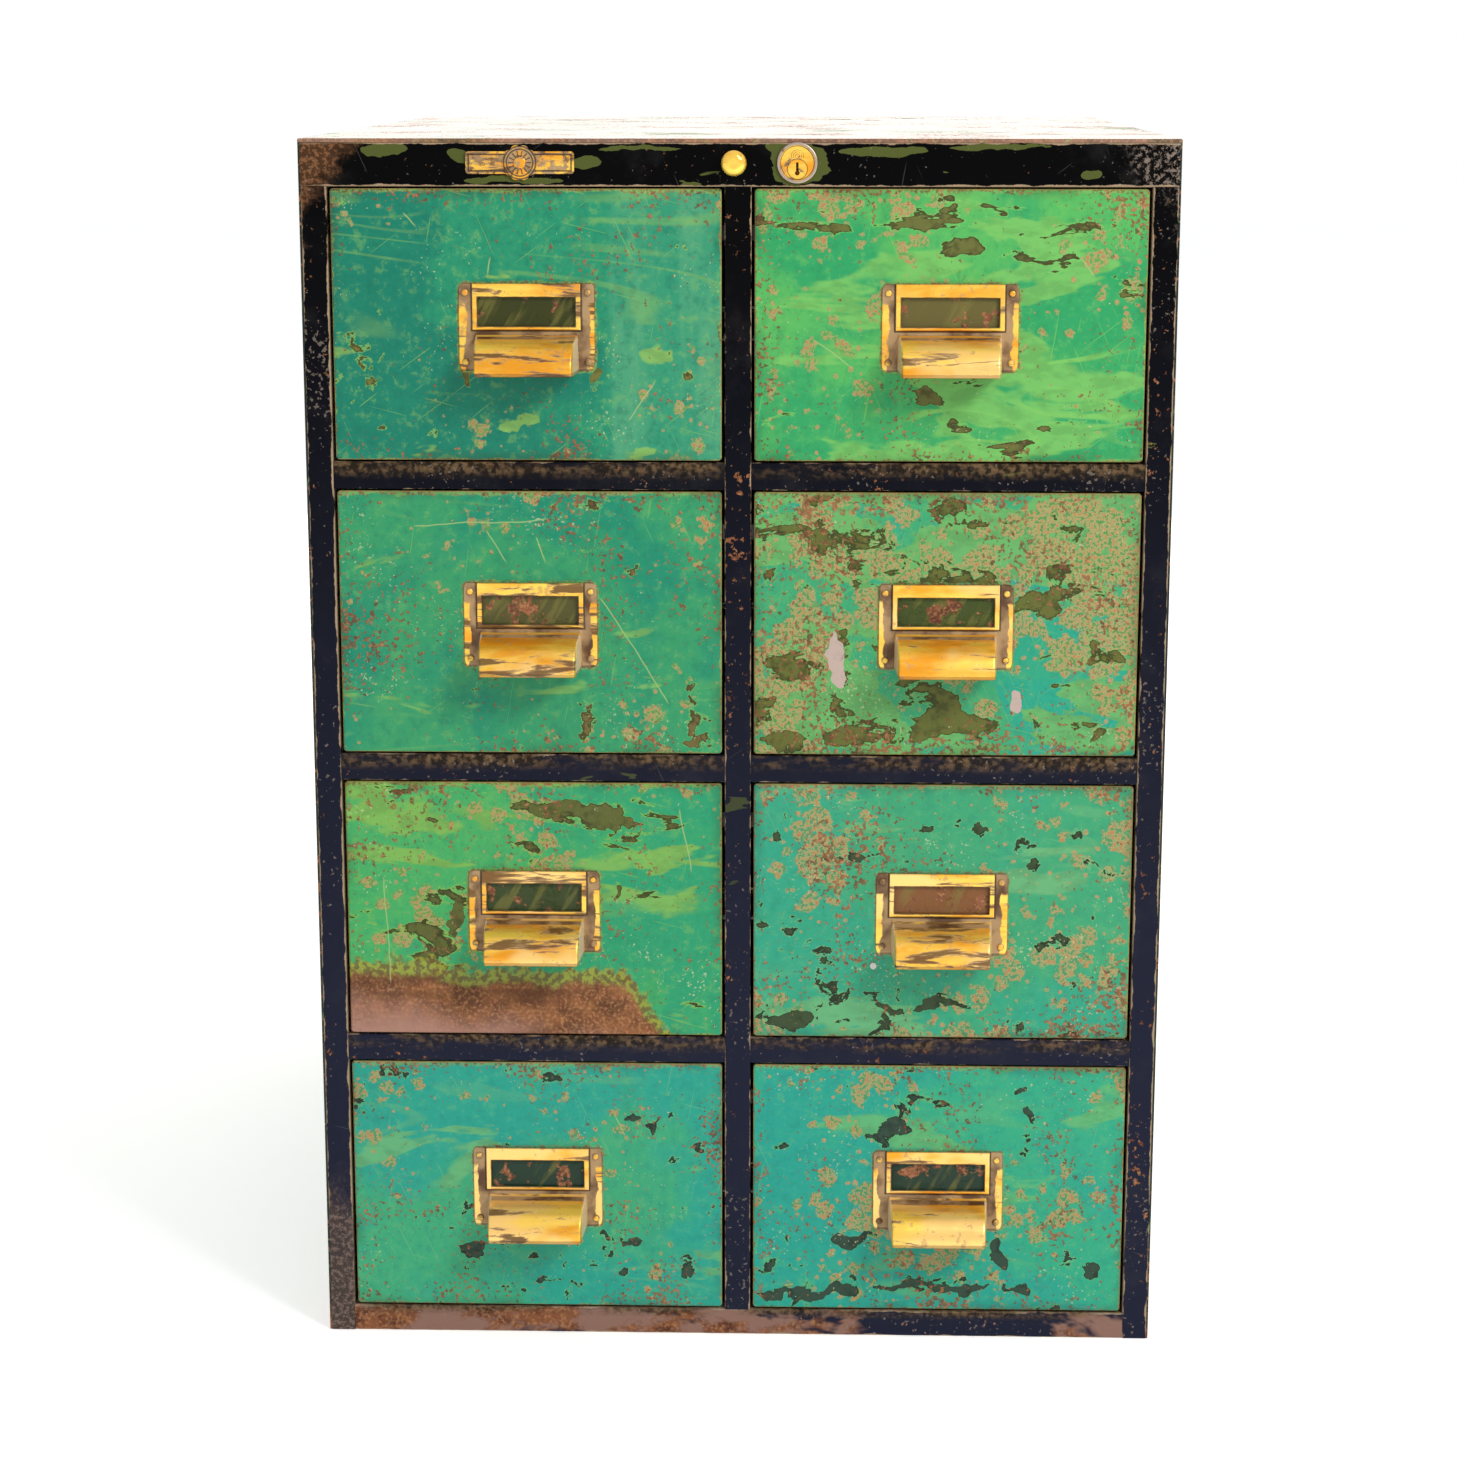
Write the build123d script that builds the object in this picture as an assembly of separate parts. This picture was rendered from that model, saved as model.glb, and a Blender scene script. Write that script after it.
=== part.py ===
"""Two-column steel card-filing cabinet with eight drawers, in millimetres.

+Z is up and the drawer fronts face -Y.  The origin is on the floor, at the centre of the whole
object's outline, pulls included.  Each sub-part is written to parts/NODE.step.
"""
from build123d import *
import os
from math import cos, pi, sin

# ---- driving dimensions -------------------------------------------------------------------
WIDTH = 560.0            # over the side panels
HEIGHT = 805.0           # floor to top
DEPTH = 700.0            # front frame to the rear edge of the side panels
SHEET = 1.2              # steel sheet of the case and the drawer fronts
ROWS = 4
STILE = 17.5             # stile with the side panel's edge
MULLION = 17.0
RAIL = 17.75             # bottom rail and the rails between drawers
TOP_RAIL = 30.0          # with the top panel's hem
FRAME_DEPTH = 16.0       # front to back of each folded frame member
RAIL_SETBACK = 0.8       # cross rails sit behind the stiles' face
PANEL_SETBACK = 0.4      # side panels sit behind the stiles' face
EDGE_RADIUS = 1.0        # folded edges of the frame

FRONT_SETBACK = 0.8      # drawer fronts behind the frame's face
FRONT_SIDE_GAP = 2.0     # each side of a drawer front
FRONT_END_GAP = 1.25     # above and below a drawer front
FRONT_RADIUS = 2.2       # pressed corners of a drawer front
FRONT_EDGE = 1.6         # pressed edges round its face

PULL_REACH = 34.0        # drawer face to the lip of the pull
BACK_INSET = 3.0         # back panel inside the side panels' rear edge
POST_DEPTH = 14.0        # rear posts, front to back

RUNNER_SHEET = 1.5
RUNNER_HEIGHT = 22.0
RUNNER_REACH = 8.5       # flanges into the opening
RUNNER_CLEARANCE = 0.5   # slide bar to runner, all round
RUNNER_FLANGE_START = 4.0

TRAY_SHEET = 1.0
TRAY_HEIGHT = 150.0
TRAY_FLOOR_GAP = 6.0     # rail below to tray bottom
TRAY_REAR_GAP = 8.0      # closed tray to the rear posts
SLIDE_BAR = 9.0          # thickness of the bar on each side of a tray

LOCK_TRAVEL = 8.0        # button stroke, and the lock bar's with it

HOLE_GAP = 0.1           # hole to the shank in it, all round
BORE_GAP = 0.05          # the same for the lock's finer fits
CUT = 5.0                # how far a cut runs on past the metal

# ---- places worked out from them ----------------------------------------------------------
FRONT = -(DEPTH - (PULL_REACH - FRONT_SETBACK)) / 2      # y of the frame's face
BACK = FRONT + DEPTH
FRAME_BACK = FRONT + FRAME_DEPTH
HEM = 2 * SHEET                                          # folded edge of the top panel
RAIL_TOP_Z = HEIGHT - HEM
OPENING_TOP = HEIGHT - TOP_RAIL
OPENING_HEIGHT = (OPENING_TOP - ROWS * RAIL) / ROWS
ROW_PITCH = OPENING_HEIGHT + RAIL
OPENING_WIDTH = (WIDTH - 2 * STILE - MULLION) / 2
BACK_PANEL_Y = BACK - BACK_INSET - SHEET                 # front face of the back panel
POST_FRONT = BACK_PANEL_Y - POST_DEPTH
FACE = FRONT + FRONT_SETBACK                             # y of the drawer fronts
LOCK_Z = (OPENING_TOP + HEIGHT) / 2                      # centre line of the top rail

# left edge of each column's opening
COLUMNS = {"left": -WIDTH / 2 + STILE, "right": MULLION / 2}


def opening_bottom(row):
    """Z of the floor of a row's opening, row 1 at the top."""
    return OPENING_TOP - row * OPENING_HEIGHT - (row - 1) * RAIL


# ---- small helpers ------------------------------------------------------------------------
def block(x0, x1, y0, y1, z0, z1):
    """A box between two corners."""
    low = (Align.MIN, Align.MIN, Align.MIN)
    return Pos(x0, y0, z0) * Box(x1 - x0, y1 - y0, z1 - z0, align=low)


def rod(x, z, y0, y1, radius):
    """A cylinder along Y."""
    base = (Align.CENTER, Align.CENTER, Align.MIN)
    return Pos(x, y1, z) * Rot(90, 0, 0) * Cylinder(radius, y1 - y0, align=base)


def folded(x0, x1, z0, z1, y0=FRONT, depth=FRAME_DEPTH, along="z"):
    """A channel of folded sheet with its web at the front and its two returns along one axis."""
    outer = block(x0, x1, y0, y0 + depth, z0, z1)
    axis = Axis.Z if along == "z" else Axis.X
    front = outer.edges().filter_by(axis).group_by(Axis.Y)[0]
    outer = fillet(front, EDGE_RADIUS)
    if along == "z":
        return outer - block(x0 + SHEET, x1 - SHEET, y0 + SHEET, y0 + depth + CUT, z0 - CUT, z1 + CUT)
    return outer - block(x0 - CUT, x1 + CUT, y0 + SHEET, y0 + depth + CUT, z0 + SHEET, z1 - SHEET)


def mirrored(shape):
    """The same shape on the other side of the centre plane."""
    return mirror(shape, about=Plane.YZ)


def group(solids):
    """Separate solids that share one node."""
    return Compound(children=list(solids))


# ---- case ---------------------------------------------------------------------------------
def side_panel():
    """Left side: one sheet with a hem turned in along its rear edge."""
    x0 = -WIDTH / 2
    sheet = block(x0, x0 + SHEET, FRONT + PANEL_SETBACK, BACK, 0, RAIL_TOP_Z)
    hem = block(x0, x0 + HEM, BACK_PANEL_Y + SHEET, BACK, 0, RAIL_TOP_Z)
    return sheet + hem


def top_panel():
    """The top sheet, with its edges folded under to double thickness."""
    hem_width = FRAME_DEPTH
    x0 = WIDTH / 2
    outer = block(-x0, x0, FRONT, BACK, RAIL_TOP_Z, HEIGHT)
    upper = outer.edges().group_by(Axis.Z)[-1]
    outer = fillet(upper, EDGE_RADIUS)
    inside = block(-x0 + hem_width, x0 - hem_width, FRONT + hem_width, BACK - hem_width,
                   RAIL_TOP_Z - CUT, RAIL_TOP_Z + SHEET)
    return outer - inside


def base_pan():
    """The bottom sheet, with its two sides turned up inside the side panels."""
    x0 = WIDTH / 2 - SHEET
    turned_up = 12.0
    floor = block(-x0, x0, FRAME_BACK, BACK_PANEL_Y, 0, SHEET)
    wall = block(-x0, -x0 + SHEET, FRAME_BACK, BACK_PANEL_Y, 0, turned_up)
    return floor + wall + mirrored(wall)


def front_stiles():
    """The two outer front posts, from the floor to the top rail."""
    left = folded(-WIDTH / 2 + SHEET, -WIDTH / 2 + STILE, 0, OPENING_TOP)
    return group([left, mirrored(left)])


GUIDE_GAP = 2.0          # mullion to lock bar, and lock bar to the guide behind it
LOCK_BAR_SHEET = 2.0
LOCK_BAR_WIDTH = 12.0
LOCK_BAR_Y = FRAME_BACK + GUIDE_GAP


def mullion():
    """Centre post, with tabs bent round behind the lock bar to guide it."""
    half = MULLION / 2
    post = folded(-half, half, RAIL, OPENING_TOP)
    tab_height, tab_reach, tab_place = 14.0, 6.0, 0.25
    tab_back = LOCK_BAR_Y + LOCK_BAR_SHEET + GUIDE_GAP / 2
    for row in range(1, ROWS + 1):
        z = opening_bottom(row) + OPENING_HEIGHT * tab_place
        arm = block(half - SHEET, half, FRAME_BACK - SHEET, tab_back + SHEET, z, z + tab_height)
        lip = block(half - tab_reach, half, tab_back, tab_back + SHEET, z, z + tab_height)
        post = post + arm + lip + mirrored(arm) + mirrored(lip)
    return post


BUTTON_X = -2.5
BUTTON_STEM = 4.0        # radii of the button's stem, and of the lock cylinder's body
STEM_GAP = 0.3           # button's stem to its hole in the rail
LOCK_X = 37.5
LOCK_BODY = 10.5


def top_rail():
    """Front rail over both columns, pierced for the button and the lock."""
    edge = WIDTH / 2 - SHEET
    rail = folded(-edge, edge, OPENING_TOP, RAIL_TOP_Z, along="x")
    rail -= rod(BUTTON_X, LOCK_Z, FRONT - CUT, FRONT + CUT, BUTTON_STEM + STEM_GAP)
    return rail - rod(LOCK_X, LOCK_Z, FRONT - CUT, FRONT + CUT, LOCK_BODY + HOLE_GAP)


def bottom_rail():
    """Front rail on the floor, between the stiles."""
    edge = WIDTH / 2 - STILE
    return folded(-edge, edge, 0, RAIL, along="x")


def cross_rails():
    """The six rails between drawers."""
    made = []
    for x0 in COLUMNS.values():
        for row in range(1, ROWS):
            z1 = opening_bottom(row)
            made.append(folded(x0, x0 + OPENING_WIDTH, z1 - RAIL, z1, FRONT + RAIL_SETBACK,
                               FRAME_DEPTH - RAIL_SETBACK, along="x"))
    return group(made)


def runner_z(row):
    """Height of a row's runners: the middle of the opening."""
    return opening_bottom(row) + OPENING_HEIGHT / 2


def runner(x, inward, row):
    """One fixed channel. x is the edge of the opening and inward is +1 or -1."""
    z = runner_z(row)
    z0, z1 = z - RUNNER_HEIGHT / 2, z + RUNNER_HEIGHT / 2
    web = sorted((x, x - inward * RUNNER_SHEET))
    reach = sorted((x - inward * RUNNER_SHEET, x + inward * RUNNER_REACH))
    flange_front = FRAME_BACK + RUNNER_FLANGE_START
    made = block(*web, FRAME_BACK, POST_FRONT, z0, z1)
    made += block(*reach, flange_front, POST_FRONT, z0, z0 + RUNNER_SHEET)
    return made + block(*reach, flange_front, POST_FRONT, z1 - RUNNER_SHEET, z1)


def drawer_runners():
    """Two runners for each of the eight drawers."""
    made = []
    for x0 in COLUMNS.values():
        for row in range(1, ROWS + 1):
            made.append(runner(x0, 1, row))
            made.append(runner(x0 + OPENING_WIDTH, -1, row))
    return group(made)


SCREW_SHANK = 1.7        # radii of a screw
SCREW_HEAD = 3.2
SCREW_LENGTH = 9.0
SCREW_ROWS = 4
POST_CENTRES = (-WIDTH / 2 + (STILE + HEM) / 2, 0.0, WIDTH / 2 - (STILE + HEM) / 2)


def screw_places():
    """(x, z) of each back panel screw: a line of them down each rear post."""
    step = (RAIL_TOP_Z - 2 * RAIL) / (SCREW_ROWS - 1)
    return [(x, RAIL + i * step) for x in POST_CENTRES for i in range(SCREW_ROWS)]


def drill(shape, radius):
    """Screw holes at the rear."""
    for x, z in screw_places():
        shape = shape - rod(x, z, POST_FRONT - CUT, BACK + CUT, radius)
    return shape


def rear_posts():
    """Three upright channels that carry the runners' rear ends and the back panel."""
    edge = WIDTH / 2 - HEM
    inner = WIDTH / 2 - STILE
    half = MULLION / 2
    made = []
    for x0, x1 in ((-edge, -inner), (-half, half), (inner, edge)):
        post = block(x0, x1, POST_FRONT, BACK_PANEL_Y, SHEET, RAIL_TOP_Z)
        post -= block(x0 + SHEET, x1 - SHEET, POST_FRONT - CUT, BACK_PANEL_Y - SHEET, 0, HEIGHT)
        made.append(drill(post, SCREW_SHANK + HOLE_GAP))
    return group(made)


def back_panel():
    """Flat rear sheet, held by screws."""
    edge = WIDTH / 2 - HEM
    return drill(block(-edge, edge, BACK_PANEL_Y, BACK_PANEL_Y + SHEET, 0, RAIL_TOP_Z),
                 SCREW_SHANK + HOLE_GAP)


def back_panel_screws():
    """Cheese-head screws through the back panel into the rear posts."""
    head_y = BACK_PANEL_Y + SHEET
    head_height, head_edge = 1.8, 0.4
    slot, slot_floor = 0.8, 1.0
    made = []
    for x, z in screw_places():
        head = rod(x, z, head_y, head_y + head_height, SCREW_HEAD)
        rim = head.edges().group_by(Axis.Y)[-1]
        head = fillet(rim, head_edge)
        head -= block(x - SCREW_HEAD, x + SCREW_HEAD, head_y + slot_floor, head_y + CUT,
                      z - slot / 2, z + slot / 2)
        made.append(head + rod(x, z, head_y - SCREW_LENGTH, head_y, SCREW_SHANK))
    return group(made)


# ---- nameplate and lock -------------------------------------------------------------------
PLATE_OFFSET = 3.0       # nameplate's middle to the left of the column's


def nameplate():
    """Plain plaque with a scalloped rosette in its middle and no lettering."""
    x, z = COLUMNS["left"] + OPENING_WIDTH / 2 - PLATE_OFFSET, LOCK_Z
    length, height, thick, corner = 69.0, 14.0, 1.0, 2.0
    rim, rim_height = 1.4, 0.5
    lobes, lobe_radius, ring_radius, boss_height = 10, 3.6, 7.6, 1.8
    dome_radius, dome_height, dome_edge = 4.2, 3.0, 1.1
    bar = block(x - length / 2, x + length / 2, FRONT - thick, FRONT, z - height / 2, z + height / 2)
    bar = fillet(bar.edges().filter_by(Axis.Y), corner)
    border = block(x - length / 2, x + length / 2, FRONT - thick - rim_height, FRONT - thick,
                   z - height / 2, z + height / 2)
    border = fillet(border.edges().filter_by(Axis.Y), corner)
    border -= block(x - length / 2 + rim, x + length / 2 - rim, FRONT - CUT, FRONT,
                    z - height / 2 + rim, z + height / 2 - rim)
    boss = rod(x, z, FRONT - boss_height, FRONT, ring_radius)
    for i in range(lobes):
        turn = 2 * pi * i / lobes
        boss += rod(x + ring_radius * cos(turn), z + ring_radius * sin(turn),
                    FRONT - boss_height, FRONT, lobe_radius)
    dome = rod(x, z, FRONT - dome_height, FRONT - thick, dome_radius)
    dome = fillet(dome.edges().group_by(Axis.Y)[0], dome_edge)
    return bar + border + boss + dome


LOCK_FACE = 11.2         # radii of the lock
LOCK_RING = 12.9
PLUG = 5.95
PLUG_DROP = 3.9          # plug below the middle of the lock's face
FACE_HEIGHT = 0.9        # lock's face, plug and ring, forward of the rail
PLUG_HEIGHT = 1.2
RING_HEIGHT = 1.9
RING_EDGE = 0.7
LOCK_LENGTH = 22.0


def lock_cylinder():
    """Fixed brass body with its round face, bored for the plug."""
    face = rod(LOCK_X, LOCK_Z, FRONT - FACE_HEIGHT, FRONT, LOCK_FACE)
    body = rod(LOCK_X, LOCK_Z, FRONT, FRONT + LOCK_LENGTH, LOCK_BODY)
    bore = rod(LOCK_X, LOCK_Z - PLUG_DROP, FRONT - CUT, FRONT + LOCK_LENGTH + CUT,
               PLUG + BORE_GAP)
    return face + body - bore


def lock_ring():
    """Plated ring round the lock's face."""
    ring = rod(LOCK_X, LOCK_Z, FRONT - RING_HEIGHT, FRONT, LOCK_RING)
    ring = fillet(ring.edges().group_by(Axis.Y)[0], RING_EDGE)
    return ring - rod(LOCK_X, LOCK_Z, FRONT - CUT, FRONT + CUT, LOCK_FACE + BORE_GAP)


def lock_plug():
    """Turning plug with a keyway, and the cam on its rear end."""
    z = LOCK_Z - PLUG_DROP
    cam_length, cam_width, cam_sheet, cam_corner, cam_gap = 29.0, 9.0, 2.0, 3.0, 1.0
    keyway_width, keyway_depth, keyway_low, keyway_high = 1.6, 18.0, 3.4, 4.2
    post_drop, post_radius = 2.4, 1.5      # the round foot of the keyway
    rear = FRONT + LOCK_LENGTH + cam_gap
    plug = rod(LOCK_X, z, FRONT - PLUG_HEIGHT, rear, PLUG)
    plug -= block(LOCK_X - keyway_width / 2, LOCK_X + keyway_width / 2,
                  FRONT - CUT, FRONT + keyway_depth, z - keyway_low, z + keyway_high)
    plug -= rod(LOCK_X, z - post_drop, FRONT - CUT, FRONT + keyway_depth, post_radius)
    cam = block(LOCK_X - cam_width / 2, LOCK_X + cam_width / 2, rear, rear + cam_sheet,
                z - cam_length, z + cam_width / 2)
    cam = fillet(cam.edges().filter_by(Axis.Y), cam_corner)
    return plug + cam


BUTTON_HEAD = 8.1        # radius of the button's head, and its height
BUTTON_HEIGHT = 6.0
BUTTON_GAP = 0.5         # head to the rail, at the end of its stroke
BUTTON_DOME = 5.0        # rounded front edge, and rear edge
BUTTON_EDGE = 0.8
BUTTON_END = FRAME_BACK + 10.0       # rear end of the stem, on the lock bar's ramp


def lock_button():
    """Domed brass push-button on a stem that drives the lock bar down."""
    head_back = FRONT - LOCK_TRAVEL - BUTTON_GAP
    head_front = head_back - BUTTON_HEIGHT
    head = rod(BUTTON_X, LOCK_Z, head_front, head_back, BUTTON_HEAD)
    head = fillet(head.edges().group_by(Axis.Y)[0], BUTTON_DOME)
    head = fillet(head.edges().group_by(Axis.Y)[-1], BUTTON_EDGE)
    return head + rod(BUTTON_X, LOCK_Z, head_back - BUTTON_EDGE, BUTTON_END, BUTTON_STEM)


FINGER_REACH = 15.0      # tips of the fingers from the centre plane
FINGER_HEIGHT = 10.0
FINGER_SHEET = 1.5
LUG_TOP = 140.0          # top of a tray's lug above the opening's floor
LUG_GAP = 1.0            # finger above the lug while the drawers are free
BAR_FOOT = 37.0          # lower end of the bar, on the spring
RAMP_SPARE = 9.0         # ramp beyond the button's travel
RAMP_GAP = 0.3           # ramp to the button's stem


def lock_bar():
    """Upright bar behind the mullion, with a ramp at its top and a finger for each row."""
    half = LOCK_BAR_WIDTH / 2
    y0, y1 = LOCK_BAR_Y, LOCK_BAR_Y + LOCK_BAR_SHEET
    reach = LOCK_TRAVEL + RAMP_SPARE
    slope = LOCK_BAR_SHEET * 2 ** 0.5
    ramp_z = LOCK_Z - BUTTON_STEM - RAMP_GAP - (BUTTON_END - y1)      # ramp's height at y1
    low_z = ramp_z - slope
    outline = Polyline((y0, low_z), (y1, low_z), (y1 + reach, low_z + reach),
                       (y1 + reach, ramp_z + reach), (y0, ramp_z - LOCK_BAR_SHEET), close=True)
    ramp = extrude(Plane.YZ * make_face(outline), amount=half, both=True)
    made = [block(-half, half, y0, y1, BAR_FOOT, low_z) + ramp]
    for row in range(1, ROWS + 1):
        z0 = opening_bottom(row) + LUG_TOP + LUG_GAP
        made.append(block(-FINGER_REACH, FINGER_REACH, y1, y1 + FINGER_SHEET, z0, z0 + FINGER_HEIGHT))
    return group(made)


def lock_spring():
    """Coil spring between the base pan and the lock bar's foot."""
    wire, radius, turns = 0.5, 2.2, 9
    height = BAR_FOOT - SHEET - 2 * wire
    coil = Helix(height / turns, height, radius)
    section = Plane(origin=coil @ 0, z_dir=coil % 0) * Circle(wire)
    return Pos(0, LOCK_BAR_Y + LOCK_BAR_SHEET / 2, SHEET + wire) * sweep(section, path=coil)


# ---- drawers ------------------------------------------------------------------------------
# rivet centres on a pull, from its middle
RIVET_X = 39.4
RIVET_Z = 22.1
RIVET_SHANK = 1.5        # radii of a rivet
RIVET_HEAD = 2.3
RIVET_DOME = 1.5         # height of the head, its rounding, and the height of the tail
RIVET_ROUND = 1.4
RIVET_TAIL = 1.0

PULL_DROP = 1.0          # pull's middle below the drawer front's
PLATE_WIDTH = 87.5
PLATE_HEIGHT = 56.0
PLATE_CORNER = 3.5
BRASS = 1.0
LABEL_WIDTH = 70.0       # raised frame for the label
LABEL_HEIGHT = 29.5
LABEL_RAISE = 2.8
LABEL_EDGE = 0.9
WINDOW_WIDTH = 63.0
WINDOW_HEIGHT = 18.5
WINDOW_SILL = 2.2        # frame below the window
HOOD_START = 34.0        # top of the plate to where the hood begins
HOOD_BASE = 66.0         # width of the hood at the plate, and at its lip
HOOD_LIP = 62.0
HOOD_OVERHANG = 1.0      # lip below the plate
HOOD_DROP = 3.5          # fall of the hood's top from plate to shoulder
HOOD_LEAN = 2.0          # shoulder behind the lip
HOOD_ROUND = 18.0        # radius of the shoulder
HOOD_CORNER = 2.6        # rounded ends of the hood
HOOD_OPEN = 4.0          # hollow's run past the lip, for each mm of sheet


def front_span(x0, row):
    """(x0, x1, z0, z1) of a drawer front."""
    z0 = opening_bottom(row)
    return (x0 + FRONT_SIDE_GAP, x0 + OPENING_WIDTH - FRONT_SIDE_GAP,
            z0 + FRONT_END_GAP, z0 + OPENING_HEIGHT - FRONT_END_GAP)


def pull_centre(x0, row):
    """(x, z) of a pull: the middle of its drawer front."""
    x_low, x_high, z_low, z_high = front_span(x0, row)
    return (x_low + x_high) / 2, (z_low + z_high) / 2 - PULL_DROP


def rivet_places(x0, row):
    """(x, z) of the four rivets of a pull."""
    x, z = pull_centre(x0, row)
    return [(x + sx * RIVET_X, z + sz * RIVET_Z) for sx in (-1, 1) for sz in (-1, 1)]


def drawer_front(x0, row):
    """Pressed pan with rounded edges, open at the back."""
    xa, xb, za, zb = front_span(x0, row)
    pan = block(xa, xb, FACE, FRAME_BACK, za, zb)
    pan = fillet(pan.edges().filter_by(Axis.Y), FRONT_RADIUS)
    pan = fillet(pan.edges().group_by(Axis.Y)[0], FRONT_EDGE)
    pan -= block(xa + SHEET, xb - SHEET, FACE + SHEET, FRAME_BACK + CUT, za + SHEET, zb - SHEET)
    for x, z in rivet_places(x0, row):
        pan = pan - rod(x, z, FACE - CUT, FACE + CUT, RIVET_SHANK + HOLE_GAP)
    return pan


def hood(inset):
    """The pull's hood as a solid, drawn in by inset all round. Its plate face is y = 0."""
    top = PLATE_HEIGHT / 2 - HOOD_START - inset
    lip = -PLATE_HEIGHT / 2 - HOOD_OVERHANG - HOOD_OPEN * inset
    reach = PULL_REACH - inset
    side = Polyline((0, top), (-reach + HOOD_LEAN, top - HOOD_DROP), (-reach, lip), (0, lip), close=True)
    face = make_face(side)
    shoulder = face.vertices().sort_by(Axis.X)[1]
    face = fillet(shoulder, HOOD_ROUND - inset)
    solid = extrude(Plane.YZ * face, amount=HOOD_BASE, both=True)
    base, end = HOOD_BASE / 2 - inset, HOOD_LIP / 2 - inset
    plan = make_face(Polyline((-base, 0), (base, 0), (end, -PULL_REACH), (-end, -PULL_REACH), close=True))
    solid = solid & extrude(plan, amount=PLATE_HEIGHT * 2, both=True)
    ends = [e for e in solid.edges() if abs(e.center().X) > end - 1 and e.center().Y < -1
            and e.center().Z > lip + 0.1]
    return fillet(ends, HOOD_CORNER - inset)


def drawer_pull(x0, row):
    """One brass pressing: plate, raised label frame open at the top, and hooded grip."""
    top = PLATE_HEIGHT / 2
    sill = top - LABEL_HEIGHT
    plate = block(-PLATE_WIDTH / 2, PLATE_WIDTH / 2, -BRASS, 0, -top, top)
    plate = fillet(plate.edges().filter_by(Axis.Y), PLATE_CORNER)
    frame = block(-LABEL_WIDTH / 2, LABEL_WIDTH / 2, -LABEL_RAISE, 0, sill, top)
    frame = fillet(frame.edges().group_by(Axis.Y)[0].filter_by(Axis.Z)
                   + frame.edges().group_by(Axis.Y)[0].filter_by(Axis.X).sort_by(Axis.Z)[:1], LABEL_EDGE)
    pocket = block(-LABEL_WIDTH / 2 + BRASS, LABEL_WIDTH / 2 - BRASS, -LABEL_RAISE + BRASS, CUT,
                   sill + BRASS, top + CUT)
    window_z = sill + WINDOW_SILL
    window = block(-WINDOW_WIDTH / 2, WINDOW_WIDTH / 2, -LABEL_RAISE - CUT, CUT,
                   window_z, window_z + WINDOW_HEIGHT)
    made = plate + frame + hood(0) - hood(BRASS) - pocket - window
    for sx in (-1, 1):
        for sz in (-1, 1):
            made -= rod(sx * RIVET_X, sz * RIVET_Z, -CUT, CUT, RIVET_SHANK + HOLE_GAP)
    x, z = pull_centre(x0, row)
    return Pos(x, FACE, z) * made


def pull_rivets(x0, row):
    """Four dome-head rivets through the pull and the drawer front."""
    made = []
    for x, z in rivet_places(x0, row):
        head = rod(x, z, FACE - BRASS - RIVET_DOME, FACE - BRASS, RIVET_HEAD)
        head = fillet(head.edges().group_by(Axis.Y)[0], RIVET_ROUND)
        shank = rod(x, z, FACE - BRASS - RIVET_DOME / 3, FACE + SHEET + RIVET_TAIL / 2, RIVET_SHANK)
        tail = rod(x, z, FACE + SHEET, FACE + SHEET + RIVET_TAIL, RIVET_HEAD)
        made.append(head + shank + tail)
    return group(made)


TRAY_FRONT = FRAME_BACK
TRAY_BACK = POST_FRONT - TRAY_REAR_GAP
HEM_HEIGHT = 8.0         # folded top edge of a tray's side
HEM_REACH = 2.0
BAR_SETBACK = 2.0        # slide bar behind the tray's front
GUIDE_HALF = 32.3        # guide rails from the tray's middle, and their section
GUIDE_WIDTH = 3.0
GUIDE_HEIGHT = 4.0


def tray_span(x0, row):
    """(x0, x1, z0, z1) over a tray's sides, without its slide bars."""
    edge = RUNNER_CLEARANCE + SLIDE_BAR
    z0 = opening_bottom(row) + TRAY_FLOOR_GAP
    return x0 + edge, x0 + OPENING_WIDTH - edge, z0, z0 + TRAY_HEIGHT


def tray_left_side(x, za, zb, middle_z):
    """Side sheet at x, the hem along its top and the slide bar spot-welded to it."""
    t = RUNNER_SHEET
    half = RUNNER_HEIGHT / 2 - RUNNER_SHEET - RUNNER_CLEARANCE
    low, high = middle_z - half, middle_z + half
    sheet = block(x, x + TRAY_SHEET, TRAY_FRONT, TRAY_BACK, za, zb)
    hem = block(x - HEM_REACH, x, TRAY_FRONT, TRAY_BACK, zb - HEM_HEIGHT, zb)
    bar = block(x - SLIDE_BAR, x, TRAY_FRONT + BAR_SETBACK, TRAY_BACK, low, high)
    bar -= block(x - SLIDE_BAR - CUT, x - t, TRAY_FRONT, TRAY_BACK + CUT, low + t, high - t)
    return [sheet, hem, bar]


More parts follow.
